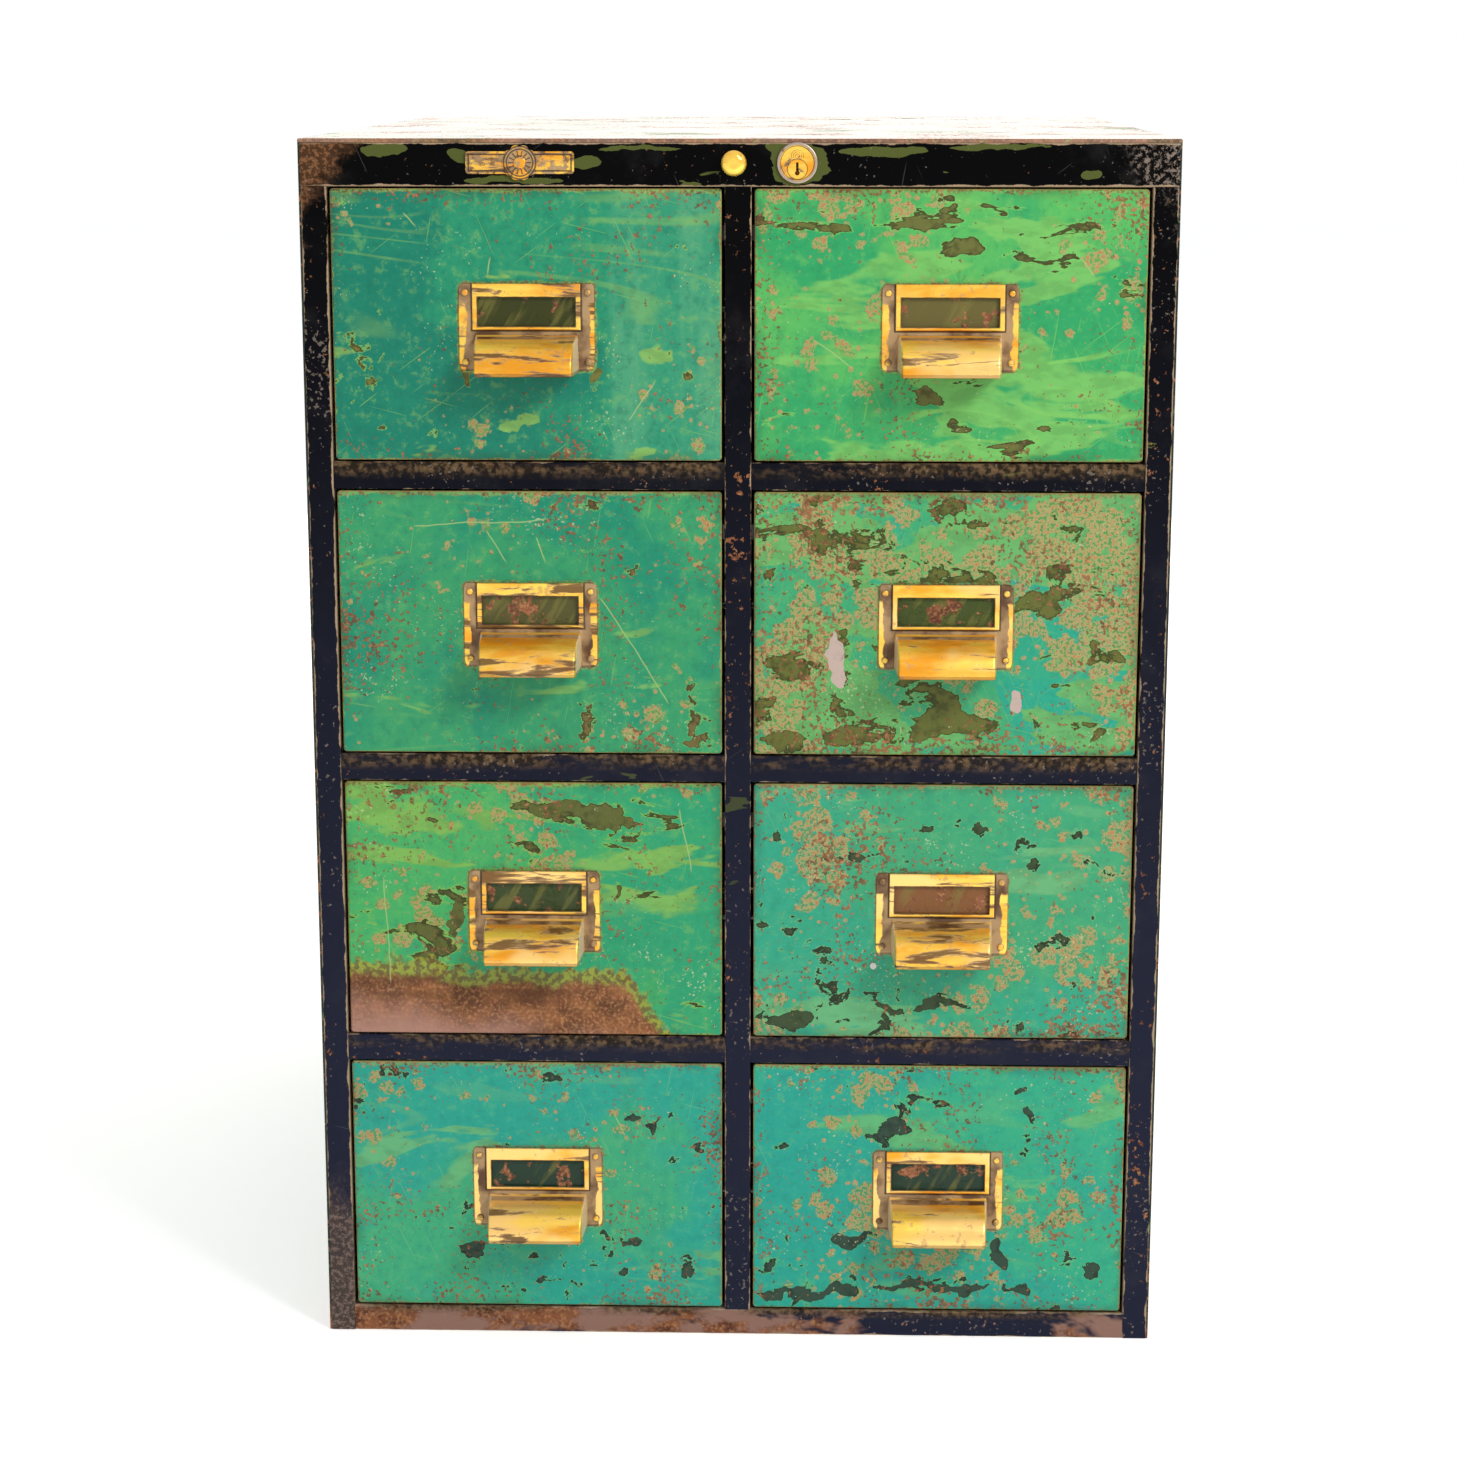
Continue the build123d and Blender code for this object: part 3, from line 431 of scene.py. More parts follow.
def wear_through(g):
    """Worn to the undercoat in broad patches and wavy rubbed lines. Returns the patches."""
    look = g.look
    gathered = 0.0
    for spot in look["scuffs"]:
        gathered = g.add(gathered, g.times(near(g, g.wavy_x, g.wavy_z, spot[:4]), 0.09 * spot[4]))
    rubbed = g.noise(17, (0.42, 1, 1.25), 6, 4, 0.6, 0.5)
    rub_at = g.add(rubbed, gathered, g.times(g.brush, 0.12))
    worn = g.above(rub_at, 0.72 - 0.13 * look["worn"], 0.3 * g.soft)
    ripple = g.math("PINGPONG", g.times(g.noise(4.6, (0.6, 1, 3.4), 8, 2, 0.45, 0.6), 9.0), 0.5)
    lines_at = g.step(g.add(g.noise(11, (0.6, 1, 1), 9, 2), gathered), 0.5, 0.62)
    rippled = g.times(g.step(ripple, 0.15, 0.05), lines_at, look["grain"])
    mottle = g.mix(g.step(g.noise(120, (0.5, 1, 1), 10, 3), 0.42, 0.62), g.under, darker(g.under, 0.8))
    g.lay(mottle, g.either(g.times(worn, 0.85), rippled))
    g.lay(g.under, g.scratches(12, look["worn"]), 0.5)
    return worn


def break_up(g):
    """Grainy patches and small blooms where the enamel has broken up over rust."""
    speckle = g.look["speckle"]
    zone = g.noise(9, seed=16, detail=3, rough=0.6)
    patch_at = g.add(g.times(g.cells(62, 17), -0.55), g.times(zone, 1.6), g.swing(0.42, 180, seed=18))
    broken = g.above(patch_at, 0.96 - 0.42 * speckle, 0.05)
    bloom_at = g.add(g.cells(115, 15), g.swing(0.3, 300, seed=14, detail=1), g.times(zone, -0.9))
    bloomed = g.above(bloom_at, 0.22 * speckle - 0.43, -0.08)
    gritty = g.mix(g.step(g.grit, 0.42, 0.5), darker(g.under, 0.62), screen(168, 158, 104))
    gritty = g.mix(g.step(g.grit, 0.54, 0.62), gritty, screen(186, 124, 76))
    g.lay(g.mix(g.step(g.grit, 0.46, 0.56), screen(150, 150, 96), RUST_PALE), bloomed, 0.8)
    g.lay(gritty, broken, 0.88)
    return broken


def chip(g):
    """Chips down to the old coat, with a pale rim of undercoat, and a dark line round each chip's edge that
    is painted shade.
    """
    look = g.look
    drag = look.get("drag", 0.95)
    gather = look.get("gather", 0.24)
    chip_at = g.add(g.noise(44, (drag, 1, 1.1), 20, 5, 0.6, 0.4), g.swing(0.46, 9, (drag, 1, 1.2), 21, 2))
    for spot in look["spots"]:
        chip_at = g.add(chip_at, g.times(near(g, g.wavy_x, g.wavy_z, spot[:4]), gather * spot[4]))
    limit = 0.73 - 0.13 * look["chips"]
    chipped = g.above(chip_at, limit, 0.006)
    # painted shade: a thin dark band just inside each chip's edge
    line = g.times(g.above(chip_at, limit - 0.008, 0.012), g.above(chip_at, limit + 0.042, -0.024))
    aged = g.mix(g.step(g.noise(150, seed=24, detail=2), 0.46, 0.7), g.old, darker(g.old, 0.6))
    g.lay(g.under, g.above(chip_at, limit - 0.03, 0.018), 0.7)
    g.lay(aged, chipped)
    g.lay(darker(g.old, 0.3), line, 0.75)
    return chipped


def freckle(g):
    """Rust freckles in clusters, more of them near the edges, and pale specks."""
    freckle_at = g.add(g.noise(330, seed=29, detail=2, rough=0.6),
                       g.times(g.noise(16, seed=28, detail=3, rough=0.65), 0.75),
                       g.times(g.step(g.inward, 22.0, 2.0), 0.07))
    freckled = g.above(freckle_at, 1.07 - 0.07 * g.look["speckle"], 0.05)
    g.lay(g.rust, freckled, 0.85)
    fleck_at = g.add(g.noise(480, seed=31, detail=2), g.times(g.noise(22, seed=32, detail=3), 0.5))
    g.lay(screen(196, 200, 156), g.step(fleck_at, 0.955, 1.02), 0.65)
    return freckled


def fray(g):
    """Ochre and rust along the top edge, thin and broken at the others. A thin pale ochre line along the
    very edges is worn paint in part and a painted highlight on the rounded edge in part. Inside the edges
    the paint is darker in broken patches.
    """
    top_edge = g.minus(g.half.z, g.z)
    side_edge = g.least(g.from_side, g.add(g.z, g.half.z))
    ragged = g.swing(9.0, 70, seed=34, detail=4, rough=0.65)
    forward = g.step(g.add(g.axis(Y, FACE, MM), ragged), 3.5, 1.8)
    thin = g.step(g.add(side_edge, ragged), 1.2, 0.3)
    frayed = g.times(g.either(g.step(g.add(top_edge, ragged), 3.0, 1.6), thin), forward)
    g.lay(g.mix(g.step(g.grit, 0.45, 0.58), darker(g.under, 0.9), g.rust), frayed, 0.8)
    # pale ochre line within 0.75 mm of the edges: worn paint in part, painted highlight in part
    g.lay(screen(176, 150, 92), g.times(g.step(g.least(top_edge, side_edge), 0.75, 0.35), forward), 0.75)
    # darker in broken patches within 9 mm of the edges
    edge_darkening = g.times(g.step(g.inward, 9.0, 0.0), g.step(g.noise(20, seed=33, detail=4), 0.44, 0.6))
    g.lay(DIRT, edge_darkening, 0.35)
    return frayed


def flood(g):
    """Water has stood along the foot of this drawer: an orange stain under an ochre crust."""
    rise = g.times(g.step(g.across, 0.4, 0.95), 0.85)
    dip = g.times(g.step(g.across, -0.45, -0.62), -0.12)
    tide = g.add(g.up, rise, dip, g.swing(-0.55, 14, seed=-54, detail=5, rough=0.66))
    flecked = g.step(g.noise(240, seed=-55, detail=2), 0.44, 0.56)
    crust = g.mix(flecked, screen(150, 156, 56), screen(112, 92, 46))
    g.lay(crust, g.step(g.add(tide, g.swing(0.35, 120, seed=-56)), -0.44, -0.52), 0.9)
    flooded = g.step(tide, -0.56, -0.66)
    low_left = g.add(g.up, g.times(g.across, 0.25), g.swing(0.4, 30, seed=-57, detail=4))
    stain = g.mix(g.step(low_left, -0.8, -1.2), g.rust, screen(172, 128, 114))
    g.lay(g.mix(g.step(g.brush, 0.45, 0.7), stain, RUST_DARK), flooded, 0.96)
    return flooded


def bare_metal(g):
    """Bare metal shows in two places."""
    places = ((-0.555, -0.26, 0.045, 0.22), (0.37, -0.58, 0.04, 0.09))
    bare = g.either(*(near(g, g.wavy_x, g.up, place) for place in places))
    g.lay(screen(190, 168, 158), g.step(g.add(bare, g.swing(0.9, 60, seed=-35, detail=3)), 0.5, 0.56))


def spilt_paint(g):
    """Two drops of white paint."""
    places = ((-0.36, -0.43, 0.016, 0.026), (-0.33, -0.33, 0.008, 0.014))
    spill = g.either(*(near(g, g.across, g.up, place) for place in places))
    g.lay(screen(214, 214, 206), g.step(spill, 0.3, 0.6))


def scratch_lines(g):
    for x0, z0, x1, z1 in g.look["lines"]:
        ends = [(a * g.half.x, b * g.half.z) for a, b in ((x0, z0), (x1, z1))]
        scratch = long_scratch(g, g.x, g.z, *ends, g.swing(6.0, 22, seed=36))
        g.lay(screen(164, 186, 118), scratch, 0.8)


def round_the_pull(g, key):
    """A chipped line round the plate, and the old coat seen in its window."""
    low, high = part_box(f"drawer_{key}_pull_rivets")
    x, z = g.axis(X, (low.x + high.x) / 2, MM), g.axis(Z, (low.z + high.z) / 2, MM)
    beyond = round_box(g, x, z, PLATE_X, PLATE_Z, 3.5)
    halo = g.step(g.add(beyond, g.swing(4.5, 160, seed=38, detail=3)), 1.7, 0.5)
    g.lay(g.mix(g.step(g.grit, 0.44, 0.56), g.under, RUST), halo, 0.7)
    blots = g.above(g.noise(75, seed=40, detail=4, rough=0.62), 0.61 - 0.08 * g.look["speckle"], 0.02)
    rubbed = g.times(g.step(g.noise(60, (2, 1, 0.3), 41, 3, tilt=30), 0.52, 0.66), 0.5)
    seen = g.mix(rubbed, screen(*g.look["window"]), screen(128, 124, 62))
    g.lay(g.mix(blots, seen, g.rust), g.step(inside(g, x, z, WINDOW_X, WINDOW_Z), -0.5, 0.3))


def drawer_paint(key, look):
    """Old green enamel over a pale undercoat over an older olive coat, chipped, scuffed and rusting."""
    g = DrawerGraph(key, look)
    top_coat(g, key)
    worn = wear_through(g)
    broken = break_up(g)
    chipped = chip(g)
    freckled = freckle(g)
    frayed = fray(g)
    rusted = g.either(g.times(freckled, 0.8), g.times(frayed, 0.7), g.times(broken, 0.6))
    if key == "left_3":
        rusted = g.either(rusted, flood(g))
    if key == "right_2":
        bare_metal(g)
    if key == "right_3":
        spilt_paint(g)
    scratch_lines(g)
    round_the_pull(g, key)
    roughness = g.blend(g.either(chipped, g.times(worn, 0.6)), 0.3, 0.52)
    waves = g.bump(g.noise(5, seed=42, detail=1), 0.002)
    relief = g.add(g.times(chipped, -1.0), g.times(worn, -0.3), g.times(g.grit, g.blend(rusted, 0.08, 1.0)))
    return g.finish(g.blend(rusted, roughness, 0.82), g.bump(relief, 0.00045, waves), specular=0.2)


# ---- frame and case paint -----------------------------------------------------------------
def brown_ends(g, height):
    """The frame's top corners and left foot have gone brown, and are frosted with fine wear."""
    half_width, top = 282.0, 798.0          # millimetres
    sideways = g.axis(X, 0, MM)
    level = g.times(height, 1 / MM)
    far_out = g.most(g.add(g.size(sideways), 12.0 - half_width), 0.0)
    from_top = g.add(g.most(g.minus(top, level), 0.0), g.times(far_out, -1.5))
    wear = g.swing(120, 30, seed=30, detail=5, rough=0.7)
    from_side = g.minus(half_width, g.size(sideways))
    top_corner = g.step(g.add(from_top, g.times(from_side, 1.1), wear), 52.0, 14.0)
    foot = g.times(g.step(g.add(level, wear), 120.0, 50.0), g.step(sideways, 0.0, -1.0))
    frost = g.step(g.noise(300, seed=31, detail=4, rough=0.7), 0.48, 0.58)
    grey = g.mix(frost, screen(62, 48, 38), screen(150, 134, 122))
    brown = g.mix(frost, screen(84, 56, 36), screen(142, 98, 66))
    g.lay(grey, g.times(top_corner, g.step(sideways, -200.0, 200.0), frost), 0.75)
    g.lay(brown, g.times(top_corner, g.step(sideways, 200.0, -200.0)), 0.8)
    g.lay(g.mix(frost, screen(78, 66, 60), screen(128, 108, 98)), foot, 0.85)
    return g.either(top_corner, foot)


def frame_paint(name, seed, edge_mm, olive=0.3, rust=0.4, frayed=0.5,
                patches=0.0, dust=None, spots=(), ends=False):
    """Gloss black enamel that turns navy lower down, chipped to olive and brown.

    edge_mm gives the distance to the member's nearest fold, where frayed is how far it has worn. There rust
    is laid, and over it a pale tan line that is worn paint in part and a painted highlight on the fold in
    part.
    patches is how much salmon rust shows, and dust gives a mask for settled dirt. Each spot is a
    place where the paint has chipped: x, z, half width and half height in millimetres."""
    g = Graph(name, seed)
    height = g.axis(Z)
    haze = g.step(g.noise(22, detail=4, rough=0.65), 0.5, 0.74)
    g.colour = g.mix(g.step(height, 0.8, 0.15), screen(3, 3, 4), screen(31, 34, 52))
    g.lay(screen(74, 72, 74), haze, 0.12)

    chip_at = g.add(g.noise(36, (0.34, 1, 1.3), 2, 4, 0.58, 0.5), g.swing(0.42, 7, seed=4))
    x = g.add(g.axis(X, 0, MM), g.swing(22, 26, seed=3))
    z = g.add(g.axis(Z, 0, MM), g.swing(7, 60, seed=7))
    for spot in spots:
        chip_at = g.add(chip_at, g.times(near(g, x, z, spot), 0.3))
    chipped = g.above(chip_at, 0.745 - 0.12 * olive, 0.008)
    g.lay(g.mix(g.step(height, 0.1, 0.7), screen(50, 54, 50), screen(86, 94, 46)), chipped, 0.9)
    g.lay(screen(110, 108, 104), g.scratches(5, -0.3), 0.25)

    corner = g.times(g.step(g.size(g.axis(X)), 0.25, 0.28), g.step(height, 0.55, 0.8))
    spot_at = g.add(g.noise(230, seed=6, detail=3, rough=0.62), g.times(g.noise(15, seed=8, detail=3), 0.7),
                    g.times(corner, 0.06))
    spotted = g.above(spot_at, 1.1 - 0.1 * rust, 0.04)
    ragged = g.add(edge_mm(g), g.swing(5.0, 60, seed=10, detail=4, rough=0.65))
    worn_edge_and_highlight = g.above(ragged, 1.4 * frayed, -0.6)
    rusted = g.either(spotted, worn_edge_and_highlight)
    rust_tone = rust_colour(g, 14)
    if patches:
        low_rust = g.times(g.step(height, 0.1, 0.0), 0.16)
        patch_at = g.add(g.noise(9, (0.6, 1, 1.4), 12, 5, 0.62, 0.4), low_rust)
        rusted = g.either(rusted, g.above(patch_at, 0.8 - 0.2 * patches, 0.04))
        salmon = g.step(g.noise(26, (0.5, 1, 1), 13, 5, 0.65), 0.47, 0.56)
        rust_tone = g.mix(salmon, rust_tone, screen(152, 116, 102))
    g.lay(rust_tone, rusted, 0.85)
    # pale tan along the folds: worn paint in part, painted highlight in part
    g.lay(screen(176, 160, 132), worn_edge_and_highlight, 0.7)
    if dust:
        settled = g.times(dust(g), g.step(g.noise(44, (0.3, 1, 1), 16, 5, 0.7), 0.38, 0.56))
        g.lay(g.mix(g.step(g.noise(260, seed=18), 0.4, 0.65), DIRT, DUST), settled, 0.85)
        rusted = g.either(rusted, settled)
    if ends:
        rusted = g.either(rusted, brown_ends(g, height))
    fleck_at = g.add(g.noise(340, seed=20, detail=2), g.times(g.noise(12, seed=21, detail=3), 0.5),
                     g.times(corner, 0.03))
    g.lay(screen(140, 128, 116), g.step(fleck_at, 0.93, 0.98), 0.5)

    roughness = g.blend(g.either(rusted, chipped), g.blend(haze, 0.2, 0.4), 0.75)
    relief = g.add(g.times(chipped, -0.8), g.times(g.noise(430, seed=22), g.blend(rusted, 0.05, 1.2)))
    normal = g.bump(relief, 0.00025, g.bump(g.noise(11, seed=24, detail=1), 0.001))
    return g.finish(roughness, normal, specular=0.05)


def case_paint(name, seed, rust=0.4, chips=0.35, lip=None, dullest=0.78, wrap=None, primer_and_reflection=0.0):
    """The green outside of the case: large sheets, scuffed by years of moving.

    lip is the y in front of which the sheet's fold has gone brown. In front of wrap, the frame's black has
    been carried round onto the sheet. primer_and_reflection is how much of the sheet is laid with pale pink
    patches: worn primer in part, and in part a painted reflection of the light that the top shows at a
    grazing angle."""
    g = Graph(name, seed)
    broad = g.noise(4, detail=4, rough=0.6, warp=0.5)
    g.colour = g.mix(g.step(broad, 0.38, 0.62), screen(28, 118, 82), screen(56, 142, 92))
    under = screen(122, 176, 100)
    scuff_at = g.add(g.noise(11, seed=2, detail=5, rough=0.66, warp=0.4), g.swing(0.25, 60, seed=3))
    scuff = g.step(scuff_at, 0.56, 0.64)
    g.lay(under, scuff, 0.65)
    # pale pink patches: worn primer in part, and in part a painted reflection of the light on the top seen
    # at a grazing angle
    if primer_and_reflection:
        bare = g.above(g.noise(7, seed=24, detail=5, rough=0.64, warp=0.4), 0.56 - 0.2 * primer_and_reflection, 0.05)
        tone = g.step(g.noise(30, seed=25, detail=4), 0.42, 0.62)
        g.lay(g.mix(tone, screen(212, 188, 172), screen(178, 150, 132)), bare, 0.92)
    chip_at = g.add(g.noise(22, (1, 1, 0.7), 4, 5, 0.56, 0.5), g.swing(0.5, 4, seed=6))
    limit = 0.74 - 0.11 * chips
    chipped = g.above(chip_at, limit, 0.006)
    g.lay(under, g.above(chip_at, limit - 0.025, 0.015), 0.7)
    g.lay(g.mix(g.step(g.noise(130, seed=8), 0.4, 0.65), OLIVE, screen(62, 64, 40)), chipped)
    spot_at = g.add(g.noise(260, seed=10), g.times(g.noise(12, seed=12, detail=4), 0.85))
    spotted = g.above(spot_at, 1.1 - 0.12 * rust, 0.05)
    foot = g.add(g.axis(Z, 0, MM), g.swing(130.0, 14, seed=14, detail=5, rough=0.65))
    rusted = g.either(spotted, g.times(g.step(foot, 40.0, 6.0), 0.95))
    if wrap is not None:
        carried = g.add(g.axis(Y, wrap, MM), g.swing(7.0, 40, seed=22, detail=4))
        g.lay(screen(14, 14, 18), g.step(carried, 0.6, -0.6), 0.95)
    if lip is not None:
        fold = g.add(g.axis(Y, lip, MM), g.swing(6.0, 50, seed=15, detail=4))
        rusted = g.either(rusted, g.times(g.step(fold, 5.0, 3.0), 0.9))
    g.lay(rust_colour(g, 16), rusted, 0.9)
    g.lay(under, g.scratches(17, 0.6), 0.5)
    roughness = g.blend(g.either(rusted, chipped), g.blend(scuff, 0.24, 0.42), dullest)
    relief = g.add(g.times(chipped, -0.8), g.times(g.noise(420, seed=18), g.blend(rusted, 0.08, 1.2)))
    normal = g.bump(relief, 0.0003, g.bump(g.noise(3.2, seed=20, detail=1), 0.004))
    return g.finish(roughness, normal, specular=0.3)


def tray_paint(name, seed):
    """Thin olive paint inside the drawers, rubbed by cards, with dust and a little rust."""
    g = Graph(name, seed)
    rub = g.step(g.noise(20, (1, 0.25, 1), 0, 5, 0.65), 0.46, 0.66)
    g.colour = g.mix(rub, screen(84, 92, 58), screen(118, 122, 84))
    streak = g.step(g.noise(30, (6, 0.3, 6), 2, 3, 0.6), 0.6, 0.72)
    g.lay(screen(150, 150, 138), streak, 0.6)
    rusted = g.step(g.add(g.noise(190, seed=4), g.times(g.noise(17, seed=6), 0.8)), 1.02, 1.08)
    g.lay(rust_colour(g, 8), rusted, 0.85)
    normal = g.bump(g.add(g.times(streak, -0.5), g.noise(380, seed=10)), 0.0001)
    return g.finish(g.blend(rusted, 0.46, 0.8), normal)


def bare_steel(name, seed, tone=(132, 130, 126), grain=(1, 0.1, 1), rust=0.3):
    """Drawn steel with a grey bloom, oil stains and rust spots."""
    g = Graph(name, seed)
    drawn = g.noise(150, grain, 0, 3, 0.6)
    stain = g.step(g.noise(18, seed=2, detail=4), 0.42, 0.66)
    dull = darker(screen(*tone), 0.5)
    g.colour = g.mix(g.times(stain, 0.7), g.mix(g.times(drawn, 0.5), screen(*tone), dull), dull)
    spot_at = g.add(g.noise(260, seed=4), g.times(g.noise(30, seed=6), 0.7))
    rusted = g.above(spot_at, 1.06 - 0.1 * rust, 0.05)
    g.lay(rust_colour(g, 8), rusted, 0.9)
    roughness = g.blend(rusted, g.blend(stain, 0.32, 0.52), 0.85)
    normal = g.bump(g.add(drawn, g.times(rusted, 0.8)), 0.00006)
    return g.finish(roughness, normal, metallic=g.blend(rusted, 1.0, 0.1))


# ---- brass --------------------------------------------------------------------------------
BRASS_BRIGHT = metal(250, 200, 84)
BRASS_WARM = metal(230, 152, 32)
BRASS_PEACH = metal(246, 198, 116)
# pale cream for the hoods' sides: a painted highlight for the light that falls on them
FLANK_PAINTED_LIGHT = screen(226, 206, 172)
PATINA = screen(180, 146, 102)
PATINA_DARK = screen(92, 58, 28)
# dark brown: grime in engraved lines, and painted shade along the pulls' edges
GRIME_AND_SHADE = screen(52, 36, 20)
METALLIC, METALLIC_DULL = 0.62, 0.2         # polished brass, and where it is smeared or brown


def brass(name, seed, centre, kept, streaks=0.5, marks=None, flank=None, gloss=0.24, pale=0.0):
    """Handled brass: bright where kept is 1, and brown patina elsewhere.

    kept(g, x, z, out) gives that mask, in millimetres; out is the height off the drawer's face.
    marks gives a mask for dark lines: grime in engraved lines on the lock and the nameplate, and painted
    shade along the edges of the pulls. Past flank, in millimetres, the hood's sides are painted pale and
    less metallic, a painted highlight for the light that falls on them."""
    g = Graph(name, seed)
    x, z = g.axis(X, centre[0], MM), g.axis(Z, centre[1], MM)
    out = g.axis(Y, FACE, -MM)
    polished = kept(g, x, z, out)
    warm = g.step(g.noise(40, (0.4, 1, 1.6), 0, 4, 0.6, 0.3), 0.4, 0.66)
    g.colour = g.mix(warm, BRASS_BRIGHT, BRASS_WARM)
    if pale:
        g.lay(BRASS_PEACH, g.above(g.noise(26, (0.5, 1, 1), 1, 3), 0.66 - 0.26 * pale, 0.14))
    smear_at = g.add(g.noise(48, (0.38, 1, 2.8), 2, 5, 0.62, 0.5), g.times(g.noise(13, seed=3), 0.3))
    limit = 0.8 - 0.12 * streaks
    pit_at = g.add(g.noise(230, seed=5, detail=2), g.times(g.noise(30, seed=4), 0.6))
    pits = g.step(pit_at, 0.98 - 0.05 * streaks, 1.02)
    smeared = g.either(g.above(smear_at, limit, 0.04), g.times(pits, 0.6))
    smear = g.mix(g.above(smear_at, limit + 0.02, 0.06), PATINA, PATINA_DARK)
    g.lay(smear, smeared, 0.9)
    brown = g.mix(g.step(g.noise(50, seed=6, detail=4), 0.4, 0.66), PATINA, PATINA_DARK)
    g.colour = g.mix(polished, brown, g.colour)
    shine = METALLIC
    if flank:
        # painted highlight: the hood's sides are laid pale cream and made less metallic
        lit_flank = g.times(g.step(g.size(x), flank - 0.5, flank + 0.2), g.step(out, 2.5, 6))
        g.lay(FLANK_PAINTED_LIGHT, lit_flank, 0.9)
        shine = g.blend(lit_flank, METALLIC, METALLIC_DULL)
    fine = g.noise(240, (0.25, 1, 3.0), 8, 2, 0.6)
    dull = g.either(g.times(smeared, 0.8), g.math("SUBTRACT", 1.0, polished, clamp=True))
    if marks:
        # dark lines: grime in the engraved lines of the lock and nameplate, and painted shade at the pulls'
        # edges
        grooves_and_shade = marks(g, x, z)
        g.lay(GRIME_AND_SHADE, grooves_and_shade, 0.85)
        dull = g.either(dull, grooves_and_shade)
    roughness = g.blend(dull, g.add(gloss, g.times(fine, 0.16)), 0.5)
    dents = g.bump(g.noise(38, seed=10, detail=2), 0.0009)
    normal = g.bump(g.add(g.times(fine, 0.4), g.times(dull, -0.5)), 0.00008, dents)
    return g.finish(roughness, normal, metallic=g.blend(dull, shine, METALLIC_DULL))


def pull_painted_shade(g, x, z):
    """Painted shade: dark lines round the raised frame, inside its window and along the plate's outer edge,
    where shadow falls at their steps.
    """
    waver = g.swing(0.9, 140, seed=31 - g.seed, detail=3)
    frame_edge = g.size(g.add(inside(g, x, z, 35.3, (-2.2, 40.0)), waver))
    window_edge = g.size(g.add(inside(g, x, z, 31.4, (0.6, 19.3)), waver))
    plate_edge = g.add(inside(g, x, z, PLATE_X, (-27.0, PLATE_Z)), waver)
    return g.either(g.step(frame_edge, 0.8, 0.3), g.step(window_edge, 0.7, 0.3),
                    g.times(g.step(plate_edge, 0.7, 0.2), 0.6))


def kept_on_pull(g, x, z, out):
    """Bright on the hood's front, the raised frame and the plate's outer edges."""
    ragged = g.swing(9.0, 60, seed=-470, detail=3, rough=0.6)
    hood = g.step(g.add(out, g.times(ragged, 0.25)), 8.6, 10.2)
    lifted = g.times(g.step(g.add(out, g.times(ragged, 0.14)), 1.9, 2.3), g.step(out, 4.5, 3.5))
    rim = g.step(g.add(g.size(x), ragged), 39.4, 40.2)
    rim = g.without(rim, g.step(g.add(z, ragged), 14.0, 16.0))
    return g.either(hood, lifted, rim)


def kept_rivet(g, x, z, out):
    """Bright on the top of the dome. The next three differ only in how far they are mottled."""
    return g.times(g.step(out, 1.7, 2.5), g.step(g.noise(90, seed=12 - g.seed), 0.6, 0.48), 0.8)


def kept_all(g, x, z, out):
    return g.step(g.noise(60, seed=8 - g.seed, detail=4), 0.7, 0.6)


def kept_face(g, x, z, out):
    return g.step(g.noise(150, seed=7 - g.seed, detail=3), 0.66, 0.58)


def kept_mottled(g, x, z, out):
    return g.step(g.noise(170, seed=11 - g.seed, detail=4, rough=0.65), 0.56, 0.46)


# ---- the stamped pulls --------------------------------------------------------------------
SHEET_MM = 1.0
CORNER = 3.6                                             # round corners of the plate
FRAME_OUT, FRAME_FOOT = 1.7, -1.6                        # raised label frame
WINDOW_HALF, WINDOW_FOOT, WINDOW_TOP = 31.3, 0.7, 19.2
REACH, TOP_DEPTH, TOP_Z = 32.4, 7.6, -7.0                # hood: its reach, its top's depth and height
TAPER = 1.4                                              # the hood is narrower at its lip, each side
HOOD_FLANK = 31.6                                        # where its front turns into its sides
# Half of the grid's columns: x, share of the hood's height, share of the frame's height.
COLUMNS = ([(x, 1, 1) for x in (0.0, 8.0, 16.0, 23.0, 28.0, 30.6, WINDOW_HALF)]
           + [(32.0, 0.992, 1), (32.7, 0.955, 1), (33.0, 0.5, 1), (33.2, 0.06, 1)]
           + [(33.7, 0, 1), (34.4, 0, 1), (34.7, 0, 0.93), (34.9, 0, 0.07)]
           + [(x, 0, 0) for x in (35.3, 37.0, 39.0, 40.6, 42.0, 43.2, PLATE_X)])


def pull_rows(lip, top):
    """Heights of the grid's rows, and how far out the hood is at each, in millimetres."""
    steps, squareness = 10, 0.84
    rows = [(lip, REACH)]
    for i in range(1, steps + 1):
        turn = pi / 2 * (1 - i / steps)
        rise, out = cos(turn) ** squareness, max(0.0, sin(turn)) ** squareness
        rows.append((lip + (TOP_Z - lip) * rise, TOP_DEPTH + (REACH - TOP_DEPTH) * out))
    rows += [(-6.5, 5.6), (-6.0, 3.6), (-5.3, 1.6), (-4.3, 0.5), (-3.2, 0.05)]
    plain = [FRAME_FOOT - 0.7, FRAME_FOOT - 0.3, FRAME_FOOT + 0.1, FRAME_FOOT + 0.6, WINDOW_FOOT - 0.35,
             WINDOW_FOOT, 4.5, 10.0, 15.5, WINDOW_TOP, WINDOW_TOP + 0.5, 22.5, 24.6, 26.2, top - 0.6, top]
    return rows + [(z, 0.0) for z in plain]


def in_corner(x, z, half, foot, top):
    """x, drawn in where the plate's corner is round."""
    beyond = abs(x) - (half - CORNER)
    level = min(0.9 * CORNER, max(z - (top - CORNER), foot + CORNER - z, 0.0))
    if beyond <= 0 or level == 0:
        return x
    room = (CORNER ** 2 - level ** 2) ** 0.5 / CORNER
    return (half - CORNER + beyond * room) * (1 if x > 0 else -1)


